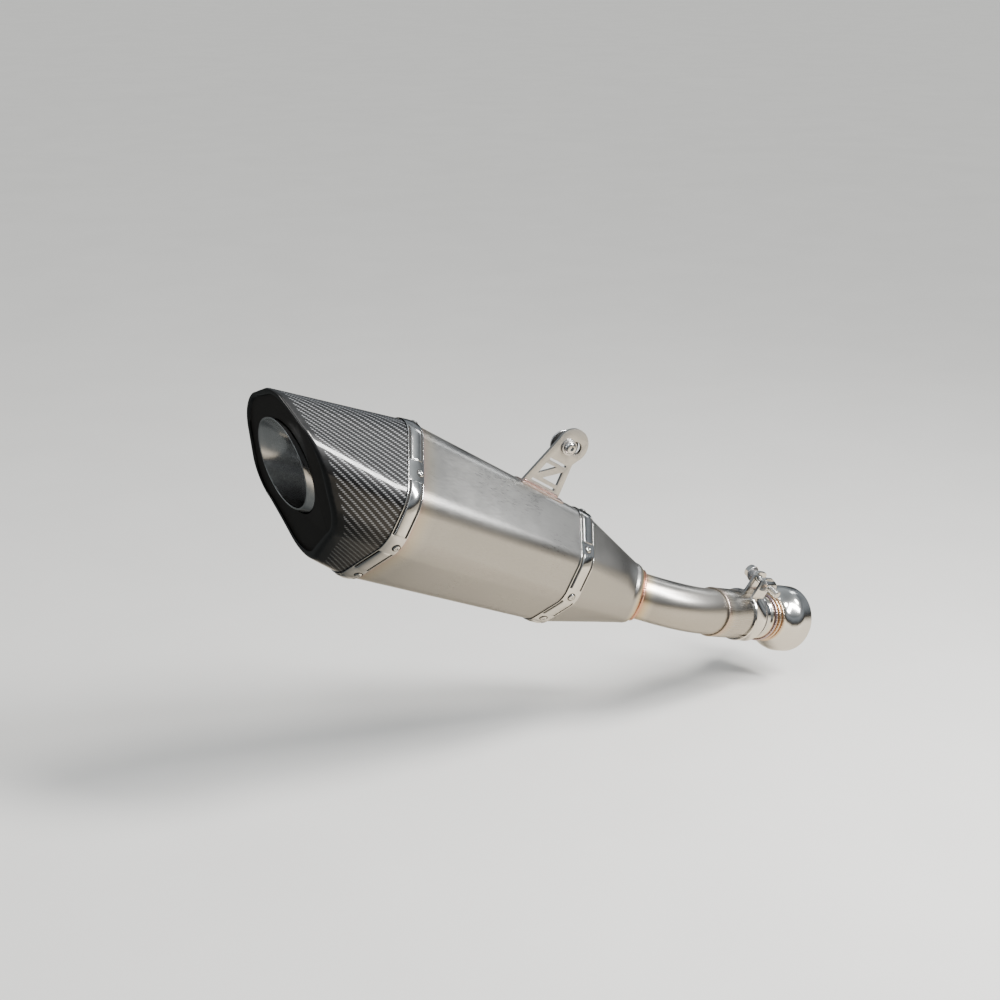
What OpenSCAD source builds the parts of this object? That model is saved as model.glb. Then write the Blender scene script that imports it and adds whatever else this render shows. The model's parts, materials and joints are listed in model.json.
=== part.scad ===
// Slip-on racing exhaust: a tapered silencer with a slash-cut end cap, a bent link pipe,
// a clamped slip joint and the header stub that it plugs into.
// Row frame: X forward along the motorcycle, Y to its left, Z up. Origin at the stub's inlet mouth.
// Silencer frame: X along the silencer towards its inlet, Y to the left, Z up its section.
// Joint frame: X along the slip joint towards the header, Y to the left, Z up.

/* [Silencer] */
// Slope of the silencer, rear end up, in degrees
incline = 28; // [20:1:34]
// Half width of the section under the front strap
front_half_w = 48; // [44:1:52]
// Half height of the section under the front strap
front_half_h = 62.5; // [58:0.5:66]
// Half width of the section under the rear strap
rear_half_w = 76; // [70:1:80]
// Half height of the section under the rear strap
rear_half_h = 82.5; // [78:0.5:88]
// Distance from the cone weld back to the front strap
front_strap_at = 110; // [104:1:116]
// Distance from the cone weld back to the rear strap
rear_strap_at = 338; // [330:1:350]
// Sheet thickness of the sleeve and the cone
sleeve_wall = 1.2; // [1:0.1:2]
// Width of each clamping strap
strap_w = 18; // [16:1:20]
// Sheet thickness of each strap
strap_t = 1.4; // [1:0.1:2]
// Radius of a rivet head
rivet_r = 3.4; // [3:0.1:4]

/* [End cap] */
// Distance from the cone weld back to the tip of the uncut cap
cap_end_at = 500; // [490:5:520]
// Half width of the uncut cap at its tip
cap_end_half_w = 57; // [52:1:62]
// Half height of the uncut cap at its tip
cap_end_half_h = 60; // [56:1:66]
// Laminate thickness of the cap
cap_wall = 2.4; // [2:0.1:3]
// Slope of the slash cut, top further back, in degrees
face_tilt = 35.3; // [28:0.1:40]
// How far the slash cut faces outboard, in degrees
face_turn = 16.7; // [5:0.1:20]
// Where the slash cut crosses the silencer axis, behind the weld
rim_at = 438; // [432:1:444]
// How deep the face insert sits inside the cap's rim
face_recess = 3; // [2:0.5:6]
// Outer radius of the outlet tube
outlet_r = 36.5; // [32:0.5:38]
// Wall of the outlet tube
outlet_wall = 1.5; // [1.2:0.1:2]
// How far the outlet tube stands out past the cap's rim
outlet_proud = 5; // [3:0.5:7]

/* [Core and packing] */
// Outer radius of the perforated core
core_r = 30; // [28:0.5:32]
// Wall of the perforated core
core_wall = 1.2; // [1:0.1:1.5]
// Radius of a perforation
perforation_r = 2; // [1.5:0.1:2.5]
// Distance between two rings of perforations
perforation_pitch = 23; // [20:1:40]
// Thickness of the steel wool wrap
wool_t = 3.2; // [2:0.1:4]

/* [Link pipe] */
// Outer radius of the link pipe
pipe_r = 25.4; // [24:0.1:26]
// Wall of the link pipe
pipe_wall = 1.2; // [1:0.1:1.6]
// Radius of the bend's centre line
bend_r = 115; // [105:1:130]
// Heading of the pipe at the cone, inboard positive, in degrees
weld_heading = -22; // [-26:1:-16]
// Downward slope of the pipe at the cone, in degrees
weld_drop = 19; // [16:1:22]
// Heading of the pipe at the slip joint, inboard positive, in degrees
joint_heading = 17; // [12:1:22]
// Downward slope of the pipe at the slip joint, in degrees
joint_drop = 20; // [16:1:24]
// Straight length between the cone and the bend
weld_straight = 20; // [16:1:26]
// Straight length between the bend and the socket
joint_straight = 8; // [6:1:12]

/* [Slip joint] */
// Distance from the stub's mouth back to the socket's rear edge
socket_at = 145; // [140:1:150]
// Length of the socket
socket_len = 70; // [66:1:74]
// Inner radius of the socket
socket_bore_r = 26; // [26:0.1:26.5]
// Wall of the socket
socket_wall = 1.4; // [1.2:0.1:1.6]
// Outer radius of the stub's spigot, a running fit in the seal
spigot_r = 23.8; // [23.5:0.1:24]
// Radius of the stub's flared mouth
mouth_r = 38.1; // [36:0.1:39]
// Wall of the stub
stub_wall = 1.5; // [1.2:0.1:1.8]

/* [Clamp] */
// Distance from the stub's mouth back to the middle of the band
clamp_at = 88; // [86:1:92]
// Width of the band
band_w = 20; // [18:1:20]
// Thickness of the band
band_t = 1.5; // [1.2:0.1:1.8]
// How far the ears lean outboard from the top, in degrees
clamp_lean = 20; // [0:5:40]
// Height of the bolt above the joint's axis
ear_bolt_at = 47; // [46:1:50]
// Radius of the clamp bolt and the hanger bolt
bolt_r = 4; // [4:0.1:4.2]

/* [Hanger] */
// Distance from the weld back to the rear foot of the plate
plate_at = 194; // [190:1:198]
// Length of the plate's foot
plate_len = 48; // [46:1:50]
// Thickness of the plate
plate_t = 4; // [3:0.5:5]
// Radius of the plate's eye
eye_r = 18; // [17.5:0.5:19]
// Half width of the eye's oblong hole
eye_slot_r = 6.7; // [6.7:0.1:7]
// Travel of the bolt along the oblong hole
eye_slot_travel = 8.4; // [6:0.2:9]
// Tilt of the oblong hole from the plate's foot, in degrees
eye_slot_tilt = 17; // [5:1:20]

/* [Hidden] */
$fn = 96;
eps = 0.02;
// Running fit between a bolt and its hole
fit_gap = 0.05;
// Clearance between faces that slide past each other
slide_gap = 0.3;

function unit(v) = v / norm(v);
function heading(turn, drop) = [cos(drop) * cos(turn), cos(drop) * sin(turn), -sin(drop)];

weld_dir = heading(weld_heading, weld_drop);
joint_dir = heading(joint_heading, joint_drop);
joint_left = unit(cross([0, 0, 1], joint_dir));
joint_up = cross(joint_dir, joint_left);
bend_axis = unit(cross(weld_dir, joint_dir));
bend_angle = acos(weld_dir * joint_dir);
bend_front = -joint_dir * (socket_at + joint_straight);
bend_centre = bend_front + bend_r * cross(bend_axis, joint_dir);
bend_rear = bend_centre - bend_r * cross(bend_axis, weld_dir);
weld_point = bend_rear - weld_straight * weld_dir;
silencer_dir = heading(0, incline);
silencer_up = [sin(incline), 0, cos(incline)];

// Rivets around a strap, from its top towards the outboard side, in degrees
rivet_angles = [0, 50, 110, 160, 200, 250, 310];
// Middle of the bolt at the rear end of the oblong hole, from the plate's rear foot
bolt_in_plate = [29.2, 50.8];
// Middle of the plate's eye, from the plate's rear foot
eye_in_plate = [33, 54];
bolt_head_r = 6.6;
bolt_head_h = 4.6;
hanger_bolt_end = 30;
// The bolt's far end, which screws into the motorcycle's bracket
hanger_thread_r = bolt_r - 0.25;
strap_gap = 0.25;
hanger_thread_len = 16;
hanger_washer_r = 8.4;
collar_r = eye_slot_r - slide_gap;
bush_end = 9.5;
bush_r = 13.5;
cup_r = 15;
cup_t = 2.4;
washer_t = 1.6;
foot_t = 1.4;
foot_margin = 4;
// How steeply the sleeve's top line falls towards the inlet, in degrees
top_fall = atan((rear_half_h - front_half_h) / (rear_strap_at - front_strap_at));
band_r = socket_bore_r + socket_wall + fit_gap;
ear_gap = 9;
ear_t = 3;
ear_top = ear_bolt_at + 8;
trunnion_r = 6.5;

// Places the children in a frame given by its origin and three axes.
module in_frame(o, x, y, z) {
    multmatrix([
        [x[0], y[0], z[0], o[0]],
        [x[1], y[1], z[1], o[1]],
        [x[2], y[2], z[2], o[2]],
        [0, 0, 0, 1]
    ]) children();
}

module in_silencer() {
    in_frame(weld_point, silencer_dir, [0, 1, 0], silencer_up) children();
}

module in_joint() {
    in_frame([0, 0, 0], joint_dir, joint_left, joint_up) children();
}

module in_clamp() {
    in_joint() translate([-clamp_at, 0, 0]) rotate([clamp_lean, 0, 0]) children();
}

// Plate frame: X along the foot towards the inlet, Y up the plate, Z through it to the right.
module in_plate() {
    in_silencer() translate([-plate_at, 0, body_h(plate_at) + foot_t]) rotate([0, top_fall, 0])
        rotate([90, 0, 0]) children();
}

// A rod along X from x0 to x1.
module rod(r, x0, x1) {
    translate([x0, 0, 0]) rotate([0, 90, 0]) cylinder(h = x1 - x0, r = r);
}

module tube(r, wall, x0, x1) {
    difference() {
        rod(r, x0, x1);
        rod(r - wall, x0 - 1, x1 + 1);
    }
}

// A ring swept around X whose middle has radius ring_r and whose bead has radius bead_r.
module bead(ring_r, bead_r, x) {
    translate([x, 0, 0]) rotate([0, 90, 0]) rotate_extrude() translate([ring_r, 0]) circle(r = bead_r, $fn = 24);
}

// Points of an arc about c, from angle a to angle b.
function arc(c, r, a, b, n) = [for (i = [0:n]) c + r * [cos(a + (b - a) * i / n), sin(a + (b - a) * i / n)]];

// Right-hand half of a rounded hexagon, corners at top and bottom, short flats at the sides.
function half_section(w, h, corner, flat, lean) = concat(
    arc([0, -(h - corner)], corner, -90, -lean, 6),
    arc([w - corner, -flat], corner, -lean, 0, 4),
    arc([w - corner, flat], corner, 0, lean, 4),
    arc([0, h - corner], corner, lean, 90, 6)
);

function section_corner(w) = 0.45 * w;
function section_flat(h) = 24.75 - 0.18 * h;
function section_lean(w, h) = atan2(w - section_corner(w), h - section_corner(w) - section_flat(h));
function section(w, h) = let (
        right = half_section(w, h, section_corner(w), section_flat(h), section_lean(w, h)),
        n = len(right)
    ) concat(right, [for (i = [1:n - 2]) [-right[n - 1 - i][0], right[n - 1 - i][1]]]);

// Half sizes of the silencer at a distance s behind the weld.
function body_w(s) = front_half_w + (rear_half_w - front_half_w) * (s - front_strap_at) / (rear_strap_at - front_strap_at);
function body_h(s) = front_half_h + (rear_half_h - front_half_h) * (s - front_strap_at) / (rear_strap_at - front_strap_at);
function cap_w(s) = rear_half_w + (cap_end_half_w - rear_half_w) * (s - rear_strap_at) / (cap_end_at - rear_strap_at);
function cap_h(s) = rear_half_h + (cap_end_half_h - rear_half_h) * (s - rear_strap_at) / (cap_end_at - rear_strap_at);

// A thin slice of a section at a distance s behind the weld.
module slice(s, w, h) {
    translate([-s, 0, 0]) rotate([90, 0, 90]) linear_extrude(height = eps) polygon(section(w, h));
}

// The silencer's tapered form between two distances behind the weld, grown outwards by g.
module body_form(s0, s1, g) {
    hull() {
        slice(s0, body_w(s0) + g, body_h(s0) + g);
        slice(s1, body_w(s1) + g, body_h(s1) + g);
    }
}

module cap_form(s0, s1, g) {
    hull() {
        slice(s0, cap_w(s0) + g, cap_h(s0) + g);
        slice(s1, cap_w(s1) + g, cap_h(s1) + g);
    }
}

// Everything behind the slash plane that crosses the axis at a distance s behind the weld.
module behind_slash(s) {
    translate([-s, 0, 0]) rotate([0, -face_tilt, face_turn]) translate([-300, -250, -250]) cube([300, 500, 500]);
}

module outer_sleeve() {
    color([0.66, 0.65, 0.63]) in_silencer() difference() {
        body_form(front_strap_at - 5, rear_strap_at - 0.5, 0);
        body_form(front_strap_at - 7, rear_strap_at + 2, -sleeve_wall);
    }
}

// The cone runs from the front strap to the round pipe, whose plane is turned to the pipe.
module cone_form(g) {
    hull() {
        slice(front_strap_at - 5.3, body_w(front_strap_at - 5.3) + g, body_h(front_strap_at - 5.3) + g);
        in_pipe_end() rod(pipe_r + 8 + g, -24, -22);
        in_pipe_end() rod(pipe_r + 5 + g, -10, -8);
        in_pipe_end() rod(pipe_r + 1.4 + g, -1, 0);
    }
}

// Frame of the pipe's rear end, seen from the silencer frame.
module in_pipe_end() {
    rotate([0, -incline, 0]) rotate([0, weld_drop, weld_heading]) children();
}

module inlet_cone() {
    color([0.62, 0.61, 0.59]) in_silencer() difference() {
        cone_form(0);
        cone_form(-sleeve_wall);
        translate([-front_strap_at + 5.2, 0, 0]) rotate([90, 0, 90]) translate([0, 0, -1])
            linear_extrude(height = 1.4) polygon(section(front_half_w - 2.5, front_half_h - 2.5));
        in_pipe_end() rod(pipe_r + fit_gap, -12, 3);
    }
}

// A flanged baffle that closes the packing chamber and holds the core.
module baffle(s, flange_s, bore) {
    difference() {
        body_form(min(s, flange_s), max(s, flange_s), -sleeve_wall - 0.1);
        body_form(min(s, flange_s) + (s < flange_s ? 1.6 : -2), max(s, flange_s) + (s < flange_s ? 2 : -1.6),
            -sleeve_wall - 1.6);
        rod(bore, -max(s, flange_s) - 3, -min(s, flange_s) + 3);
    }
}

module front_baffle() {
    color([0.55, 0.55, 0.56]) in_silencer() baffle(front_strap_at + 8, front_strap_at - 4, core_r + fit_gap);
}

module rear_baffle() {
    color([0.55, 0.55, 0.56]) in_silencer() baffle(rear_strap_at - 10, rear_strap_at - 1, core_r + fit_gap);
}

module perforated_core() {
    first = front_strap_at + 22;
    last = rear_strap_at - 22;
    color([0.6, 0.6, 0.6]) in_silencer() difference() {
        tube(core_r, core_wall, -rear_strap_at - 6, -front_strap_at);
        for (s = [first:perforation_pitch:last])
            for (turn = [0:30:150])
                translate([-s, 0, 0]) rotate([turn + (s - first) / perforation_pitch * 15, 0, 0])
                    cylinder(h = 2 * core_r + 4, r = perforation_r, center = true, $fn = 8);
    }
}

module steel_wool_wrap() {
    color([0.5, 0.5, 0.5]) in_silencer()
        tube(core_r + fit_gap + wool_t, wool_t, -rear_strap_at + 12, -front_strap_at - 10);
}

module acoustic_packing() {
    color([0.85, 0.8, 0.62]) in_silencer() difference() {
        body_form(front_strap_at + 10, rear_strap_at - 12, -sleeve_wall - 0.4);
        rod(core_r + wool_t + 0.3, -rear_strap_at, -front_strap_at);
    }
}

module strap(s) {
    in_silencer() difference() {
        body_form(s - strap_w / 2, s + strap_w / 2, strap_t);
        body_form(s - strap_w / 2 - 2, s + strap_w / 2 + 2, strap_gap);
    }
}

module rear_strap() {
    s = rear_strap_at;
    color([0.8, 0.8, 0.8]) in_silencer() difference() {
        union() {
            body_form(s - strap_w / 2, s, strap_t);
            cap_form(s, s + strap_w / 2, strap_t);
        }
        body_form(s - strap_w / 2 - 2, s, strap_gap);
        cap_form(s, s + strap_w / 2 + 2, strap_gap);
    }
}

module front_strap() {
    color([0.8, 0.8, 0.8]) strap(front_strap_at);
}

// Radius of the section at an angle from its top, on the straight line between two outline points.
function ray_hit(a, p, q) = let (d = [sin(a), cos(a)], e = q - p, den = d[0] * e[1] - d[1] * e[0])
    abs(den) < 1e-9 ? 0 : let (t = (p[0] * e[1] - p[1] * e[0]) / den, k = (p[0] * d[1] - p[1] * d[0]) / den)
    (t > 0 && k >= 0 && k < 1) ? t : 0;
function outline_radius(a, pts) = max([for (i = [0:len(pts) - 1]) ray_hit(a, pts[i], pts[(i + 1) % len(pts)])]);

// Domed rivets that stand on a strap, one at each of the strap's pads.
module rivets(s, w, h) {
    outline = section(w + strap_t, h + strap_t);
    in_silencer() for (a = rivet_angles) {
        r = outline_radius(-a, outline);
        ahead = outline_radius(-a - 1, outline);
        behind = outline_radius(-a + 1, outline);
        lean = atan2(ahead - behind, 2 * r * sin(1));
        translate([-s, -r * sin(a), r * cos(a)]) rotate([a - lean, 0, 0]) rivet();
    }
}

module rivet() {
    rotate_extrude() polygon([
        [0, -3], [1.5, -3], [1.5, 0.15], [rivet_r, 0.15], [rivet_r, 0.6],
        [rivet_r - 0.7, 1.3], [1.6, 1.5], [1.3, 1], [0, 1]
    ]);
}

module rear_strap_rivets() {
    color([0.85, 0.85, 0.85]) rivets(rear_strap_at - 4.5, body_w(rear_strap_at - 4.5), body_h(rear_strap_at - 4.5));
}

module front_strap_rivets() {
    color([0.85, 0.85, 0.85]) rivets(front_strap_at, front_half_w, front_half_h);
}

module end_cap_shell() {
    color([0.09, 0.09, 0.1]) in_silencer() difference() {
        cap_form(rear_strap_at, cap_end_at, 0);
        difference() {
            cap_form(rear_strap_at - 1, cap_end_at + 1, -cap_wall);
            behind_slash(rim_at - face_recess - 2.6);
        }
        cap_form(rear_strap_at - 1, cap_end_at + 2, -cap_wall - 3);
        behind_slash(rim_at);
    }
}

module end_cap_face() {
    color([0.2, 0.19, 0.18]) in_silencer() difference() {
        cap_form(rear_strap_at + 20, cap_end_at, -cap_wall - 3.1);
        behind_slash(rim_at - face_recess);
        difference() {
            translate([-cap_end_at, -200, -200]) cube([cap_end_at, 400, 400]);
            behind_slash(rim_at - face_recess - 2.5);
        }
        rod(outlet_r + 1.2, -cap_end_at - 20, 0);
    }
}

module outlet_tube() {
    color([0.82, 0.82, 0.82]) in_silencer() difference() {
        union() {
            tube(outlet_r, outlet_wall, -cap_end_at, -rear_strap_at - 2);
            tube(outlet_r, outlet_r - core_r - fit_gap, -rear_strap_at - 6, -rear_strap_at - 2);
        }
        behind_slash(rim_at + outlet_proud);
    }
}

module cone_weld() {
    color([0.7, 0.48, 0.4]) in_silencer() in_pipe_end() difference() {
        bead(pipe_r + 1.2, 1.9, 0.6);
        rod(pipe_r + 0.02, -4, 5);
        rod(pipe_r + 6, -5, 0);
    }
}

// Three stretches of one pipe: a straight, the bend and a straight.
module link_pipe() {
    color([0.68, 0.66, 0.63]) {
        in_frame(weld_point, weld_dir, unit(cross(bend_axis, weld_dir)), bend_axis)
            tube(pipe_r, pipe_wall, -10, weld_straight);
        in_frame(bend_centre, -cross(bend_axis, weld_dir), weld_dir, bend_axis)
            rotate_extrude(angle = bend_angle) translate([bend_r, 0]) difference() {
                circle(r = pipe_r);
                circle(r = pipe_r - pipe_wall);
            }
        in_joint() tube(pipe_r, pipe_wall, -socket_at - joint_straight, -socket_at + 14);
    }
}

module pipe_socket() {
    mouth = -socket_at + socket_len;
    color([0.72, 0.7, 0.68]) in_joint() difference() {
        rod(socket_bore_r + socket_wall, -socket_at, mouth);
        rod(pipe_r + 0.02, -socket_at - 1, mouth);
        rod(socket_bore_r, -socket_at + 16, mouth + 1);
        for (turn = [45:90:315])
            rotate([turn, 0, 0]) translate([mouth - 26, -1.5, 10]) cube([30, 3, 30]);
    }
}

module socket_weld() {
    color([0.66, 0.58, 0.5]) in_joint() difference() {
        bead(pipe_r + 1.1, 1.9, -socket_at - 0.6);
        rod(pipe_r + 0.02, -socket_at - 6, -socket_at + 6);
        rod(pipe_r + 8, -socket_at, -socket_at + 6);
    }
}

module bracket_foot() {
    color([0.7, 0.6, 0.56]) in_silencer() difference() {
        intersection() {
            body_form(plate_at - plate_len - 8, plate_at + 8, foot_t);
            translate([-plate_at - foot_margin, -9, 40]) cube([plate_len + 2 * foot_margin, 18, 60]);
        }
        body_form(plate_at - plate_len - 10, plate_at + 10, eps);
    }
}

module slot(p0, p1, w) {
    reach = norm(p1 - p0);
    translate(p0) rotate(atan2(p1[1] - p0[1], p1[0] - p0[0])) union() {
        circle(d = w);
        translate([reach, 0]) circle(d = w);
        translate([0, -w / 2]) square([reach, w]);
    }
}

module plate_outline() {
    difference() {
        union() {
            polygon([
                [0, -6], [plate_len, -6], [plate_len, 0], [43.6, 36.5], [46.5, 42],
                eye_in_plate + [12, -2], eye_in_plate, eye_in_plate - [16, -7.6], [0, 0]
            ]);
            translate(eye_in_plate) circle(r = eye_r);
        }
        translate(bolt_in_plate) rotate(eye_slot_tilt) slot([0, 0], [eye_slot_travel, 0], 2 * eye_slot_r);
        slot([9.5, 5.2], [38.5, 5.2], 2.4);
        slot([17, 31.6], [37, 31.6], 2.4);
        polygon([[14.8, 26.2], [28.6, 26.6], [11.2, 12.6]]);
        polygon([[38.2, 25.4], [19.2, 10.6], [40, 10.4]]);
    }
}

module hanger_bracket() {
    color([0.74, 0.74, 0.72]) difference() {
        in_plate() translate([0, 0, -plate_t / 2]) linear_extrude(height = plate_t) plate_outline();
        in_silencer() body_form(plate_at - plate_len - 10, plate_at + 10, foot_t + eps);
    }
}

// A fillet along each side of the plate's foot.
module bracket_weld() {
    color([0.72, 0.55, 0.5]) difference() {
        in_plate() for (side = [-1, 1])
            translate([1, 0, side * (plate_t / 2 + 0.2)]) rotate([0, 90, 0]) cylinder(h = plate_len - 2, r = 2);
        in_plate() translate([-4, -10, -plate_t / 2 - eps]) cube([plate_len + 8, 30, plate_t + 2 * eps]);
        in_silencer() body_form(plate_at - plate_len - 10, plate_at + 10, foot_t + 2 * eps);
    }
}

// Bolt frame: Z along the hanger bolt, away from the plate towards the motorcycle.
module in_hanger() {
    in_plate() translate([bolt_in_plate[0], bolt_in_plate[1], 0]) rotate([0, 180, 0]) children();
}

module washer(r, bore, z0, z1) {
    difference() {
        translate([0, 0, z0]) cylinder(h = z1 - z0, r = r);
        translate([0, 0, z0 - 1]) cylinder(h = z1 - z0 + 2, r = bore);
    }
}

module bush_collar() {
    color([0.75, 0.75, 0.75]) in_hanger() washer(collar_r, bolt_r + fit_gap, -plate_t / 2 - slide_gap, bush_end);
}

module rubber_bush() {
    color([0.08, 0.08, 0.08]) in_hanger() difference() {
        washer(bush_r, collar_r + 0.02, plate_t / 2 + slide_gap, bush_end);
        translate([0, 0, (plate_t / 2 + bush_end) / 2]) rotate_extrude() translate([bush_r + 0.6, 0]) circle(r = 1.8);
    }
}

module cup_washer() {
    color([0.78, 0.78, 0.77]) in_hanger() washer(cup_r, bolt_r + fit_gap, bush_end + 0.02, bush_end + cup_t);
}

module hanger_bolt() {
    seat = -plate_t / 2 - slide_gap - 0.1 - washer_t;
    thread_at = hanger_bolt_end - 1 - hanger_thread_len;
    color([0.86, 0.86, 0.86]) in_hanger() rotate_extrude() polygon([
        [0, seat - bolt_head_h + 2.4], [2.4, seat - bolt_head_h + 2.4], [2.6, seat - bolt_head_h],
        [4.4, seat - bolt_head_h + 0.5], [bolt_head_r - 0.4, seat - 1.8], [bolt_head_r, seat - 1],
        [bolt_head_r, seat - 0.05], [bolt_r, seat - 0.05], [bolt_r, thread_at], [hanger_thread_r, thread_at],
        [hanger_thread_r, hanger_bolt_end - 1], [hanger_thread_r - 1, hanger_bolt_end], [0, hanger_bolt_end]
    ]);
}

module hanger_washer() {
    near = -plate_t / 2 - slide_gap - 0.1;
    color([0.8, 0.8, 0.8]) in_hanger() washer(hanger_washer_r, bolt_r + fit_gap, near - washer_t, near);
}

module clamp_band() {
    color([0.84, 0.83, 0.8]) in_clamp() {
        difference() {
            union() {
                tube(band_r + band_t, band_t, -band_w / 2, band_w / 2);
                for (side = [-1, 1])
                    translate([-band_w / 2, side > 0 ? ear_gap / 2 : -ear_gap / 2 - ear_t, band_r - 1])
                        cube([band_w, ear_t, ear_top - band_r + 1]);
            }
            rod(band_r, -band_w, band_w);
            translate([-band_w, -ear_gap / 2, 10]) cube([2 * band_w, ear_gap, 60]);
            translate([0, 30, ear_bolt_at]) rotate([90, 0, 0]) cylinder(h = 60, r = bolt_r + 0.5);
        }
    }
}

// A round bar across an ear, with a flat against it and a hole for the bolt.
module trunnion(side) {
    face = ear_gap / 2 + ear_t;
    translate([0, 0, ear_bolt_at]) difference() {
        translate([0, side * (face + 1.5), 0]) rod(trunnion_r, -band_w / 2 + 1, band_w / 2 - 1);
        translate([-band_w, side > 0 ? face - 20 : -face, -20]) cube([2 * band_w, 20, 40]);
        translate([0, 40, 0]) rotate([90, 0, 0]) cylinder(h = 80, r = bolt_r + fit_gap);
    }
}

module clamp_spacer() {
    color([0.78, 0.78, 0.78]) in_clamp() trunnion(1);
}

module clamp_barrel_nut() {
    color([0.86, 0.86, 0.84]) in_clamp() translate([0, -0.02, 0]) trunnion(-1);
}

module clamp_washer() {
    seat = ear_gap / 2 + ear_t + 1.5 + trunnion_r;
    color([0.8, 0.8, 0.8]) in_clamp() translate([0, seat + 0.03, ear_bolt_at]) rotate([-90, 0, 0])
        washer(8, bolt_r + fit_gap, 0, washer_t);
}

module clamp_bolt() {
    seat = ear_gap / 2 + ear_t + 1.5 + trunnion_r + washer_t + 0.06;
    color([0.86, 0.86, 0.86]) in_clamp() translate([0, 0, ear_bolt_at]) rotate([-90, 0, 0]) {
        translate([0, 0, seat]) cylinder(h = 5.5, r = 7.5, $fn = 6);
        translate([0, 0, -28]) cylinder(h = 28 + seat, r = bolt_r);
    }
}

// Graphite sleeve between the socket and the stub's spigot, with a lip at the socket's mouth.
module joint_seal() {
    mouth = -socket_at + socket_len;
    color([0.13, 0.13, 0.14]) in_joint() {
        difference() {
            union() {
                rod(socket_bore_r - fit_gap, mouth - 38, mouth + 2);
                rod(socket_bore_r + 1, mouth + slide_gap, mouth + 3);
            }
            rod(spigot_r + fit_gap, mouth - 40, mouth + 5);
        }
    }
}

module header_stub() {
    mouth = -socket_at + socket_len;
    inner = spigot_r - stub_wall;
    color([0.83, 0.81, 0.77]) in_joint() rotate([0, 90, 0]) rotate_extrude() polygon([
        [inner, mouth - 42], [spigot_r, mouth - 42], [spigot_r, -62], [spigot_r + 2, -60], [spigot_r + 2, -38],
        [mouth_r - 3, -22], [mouth_r, -16], [mouth_r, 0], [mouth_r - stub_wall, 0], [mouth_r - stub_wall, -16],
        [mouth_r - 3 - stub_wall, -22], [spigot_r + 0.5, -38], [inner, -60]
    ]);
}

// Stepped rings of weld around the stub, behind its flare.
module stub_rings() {
    color([0.62, 0.5, 0.42]) in_joint() for (step = [0:2]) difference() {
        bead(spigot_r + 2.6, 1.7, -55 + 7 * step);
        rod(spigot_r + 2.02, -70, -30);
    }
}

outer_sleeve();
inlet_cone();
front_baffle();
rear_baffle();
perforated_core();
steel_wool_wrap();
acoustic_packing();
rear_strap();
front_strap();
rear_strap_rivets();
front_strap_rivets();
end_cap_shell();
end_cap_face();
outlet_tube();
cone_weld();
link_pipe();
pipe_socket();
socket_weld();
bracket_foot();
hanger_bracket();
bracket_weld();
bush_collar();
rubber_bush();
cup_washer();
hanger_bolt();
hanger_washer();
clamp_band();
clamp_spacer();
clamp_barrel_nut();
clamp_bolt();
clamp_washer();
joint_seal();
header_stub();
stub_rings();
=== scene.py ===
import math

import bpy
import numpy as np
from mathutils import Matrix, Vector
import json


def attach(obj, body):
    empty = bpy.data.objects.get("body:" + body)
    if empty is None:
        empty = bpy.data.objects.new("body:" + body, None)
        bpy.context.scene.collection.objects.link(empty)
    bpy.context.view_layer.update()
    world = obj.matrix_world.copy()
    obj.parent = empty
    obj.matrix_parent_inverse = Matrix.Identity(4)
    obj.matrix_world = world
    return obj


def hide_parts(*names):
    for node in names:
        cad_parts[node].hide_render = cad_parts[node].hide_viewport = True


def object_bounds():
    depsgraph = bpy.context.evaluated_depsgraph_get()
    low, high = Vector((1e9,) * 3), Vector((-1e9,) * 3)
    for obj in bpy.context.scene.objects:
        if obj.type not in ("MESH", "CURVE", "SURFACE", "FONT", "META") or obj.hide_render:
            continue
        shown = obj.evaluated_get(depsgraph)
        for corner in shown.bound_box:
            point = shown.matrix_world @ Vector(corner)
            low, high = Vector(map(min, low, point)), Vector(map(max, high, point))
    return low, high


# A slip-on racing exhaust: brushed silencer, slash-cut carbon cap, link pipe, clamped slip joint and hanger.
# Each piece is modelled in millimetres in the frame of the part it belongs to, then set in the shared frame.
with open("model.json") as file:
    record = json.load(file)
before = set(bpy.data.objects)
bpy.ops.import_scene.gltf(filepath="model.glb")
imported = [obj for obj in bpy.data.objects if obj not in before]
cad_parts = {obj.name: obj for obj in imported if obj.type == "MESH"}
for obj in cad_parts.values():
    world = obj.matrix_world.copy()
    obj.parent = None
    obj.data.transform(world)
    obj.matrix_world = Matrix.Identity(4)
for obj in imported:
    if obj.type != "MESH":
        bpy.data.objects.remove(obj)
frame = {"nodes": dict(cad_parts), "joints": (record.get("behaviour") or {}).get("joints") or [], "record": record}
cad_low, cad_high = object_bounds()
MM = 0.001

# ---------------------------------------------------------------- frames and driving sizes

mounts = {mount["name"]: mount for mount in frame["record"]["mounts"]}
joints = {joint["name"]: joint for joint in frame["joints"]}


def heading(turn, drop):
    """The direction turned inboard from straight ahead and dropped below level, in degrees."""
    turn, drop = math.radians(turn), math.radians(drop)
    return Vector((math.cos(drop) * math.cos(turn), math.cos(drop) * math.sin(turn), -math.sin(drop)))


def frame_at(origin, x_axis):
    """A frame at origin with X along x_axis, Y level to the left and Z up."""
    x_axis = x_axis.normalized()
    y_axis = Vector((0, 0, 1)).cross(x_axis).normalized()
    turn = Matrix((x_axis, y_axis, x_axis.cross(y_axis))).transposed().to_4x4()
    return Matrix.Translation(origin) @ turn @ Matrix.Scale(MM, 4)


def moved(x, y, z):
    return Matrix.Translation((x, y, z))


def turned_by(degrees, axis):
    return Matrix.Rotation(math.radians(degrees), 4, axis)


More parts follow.
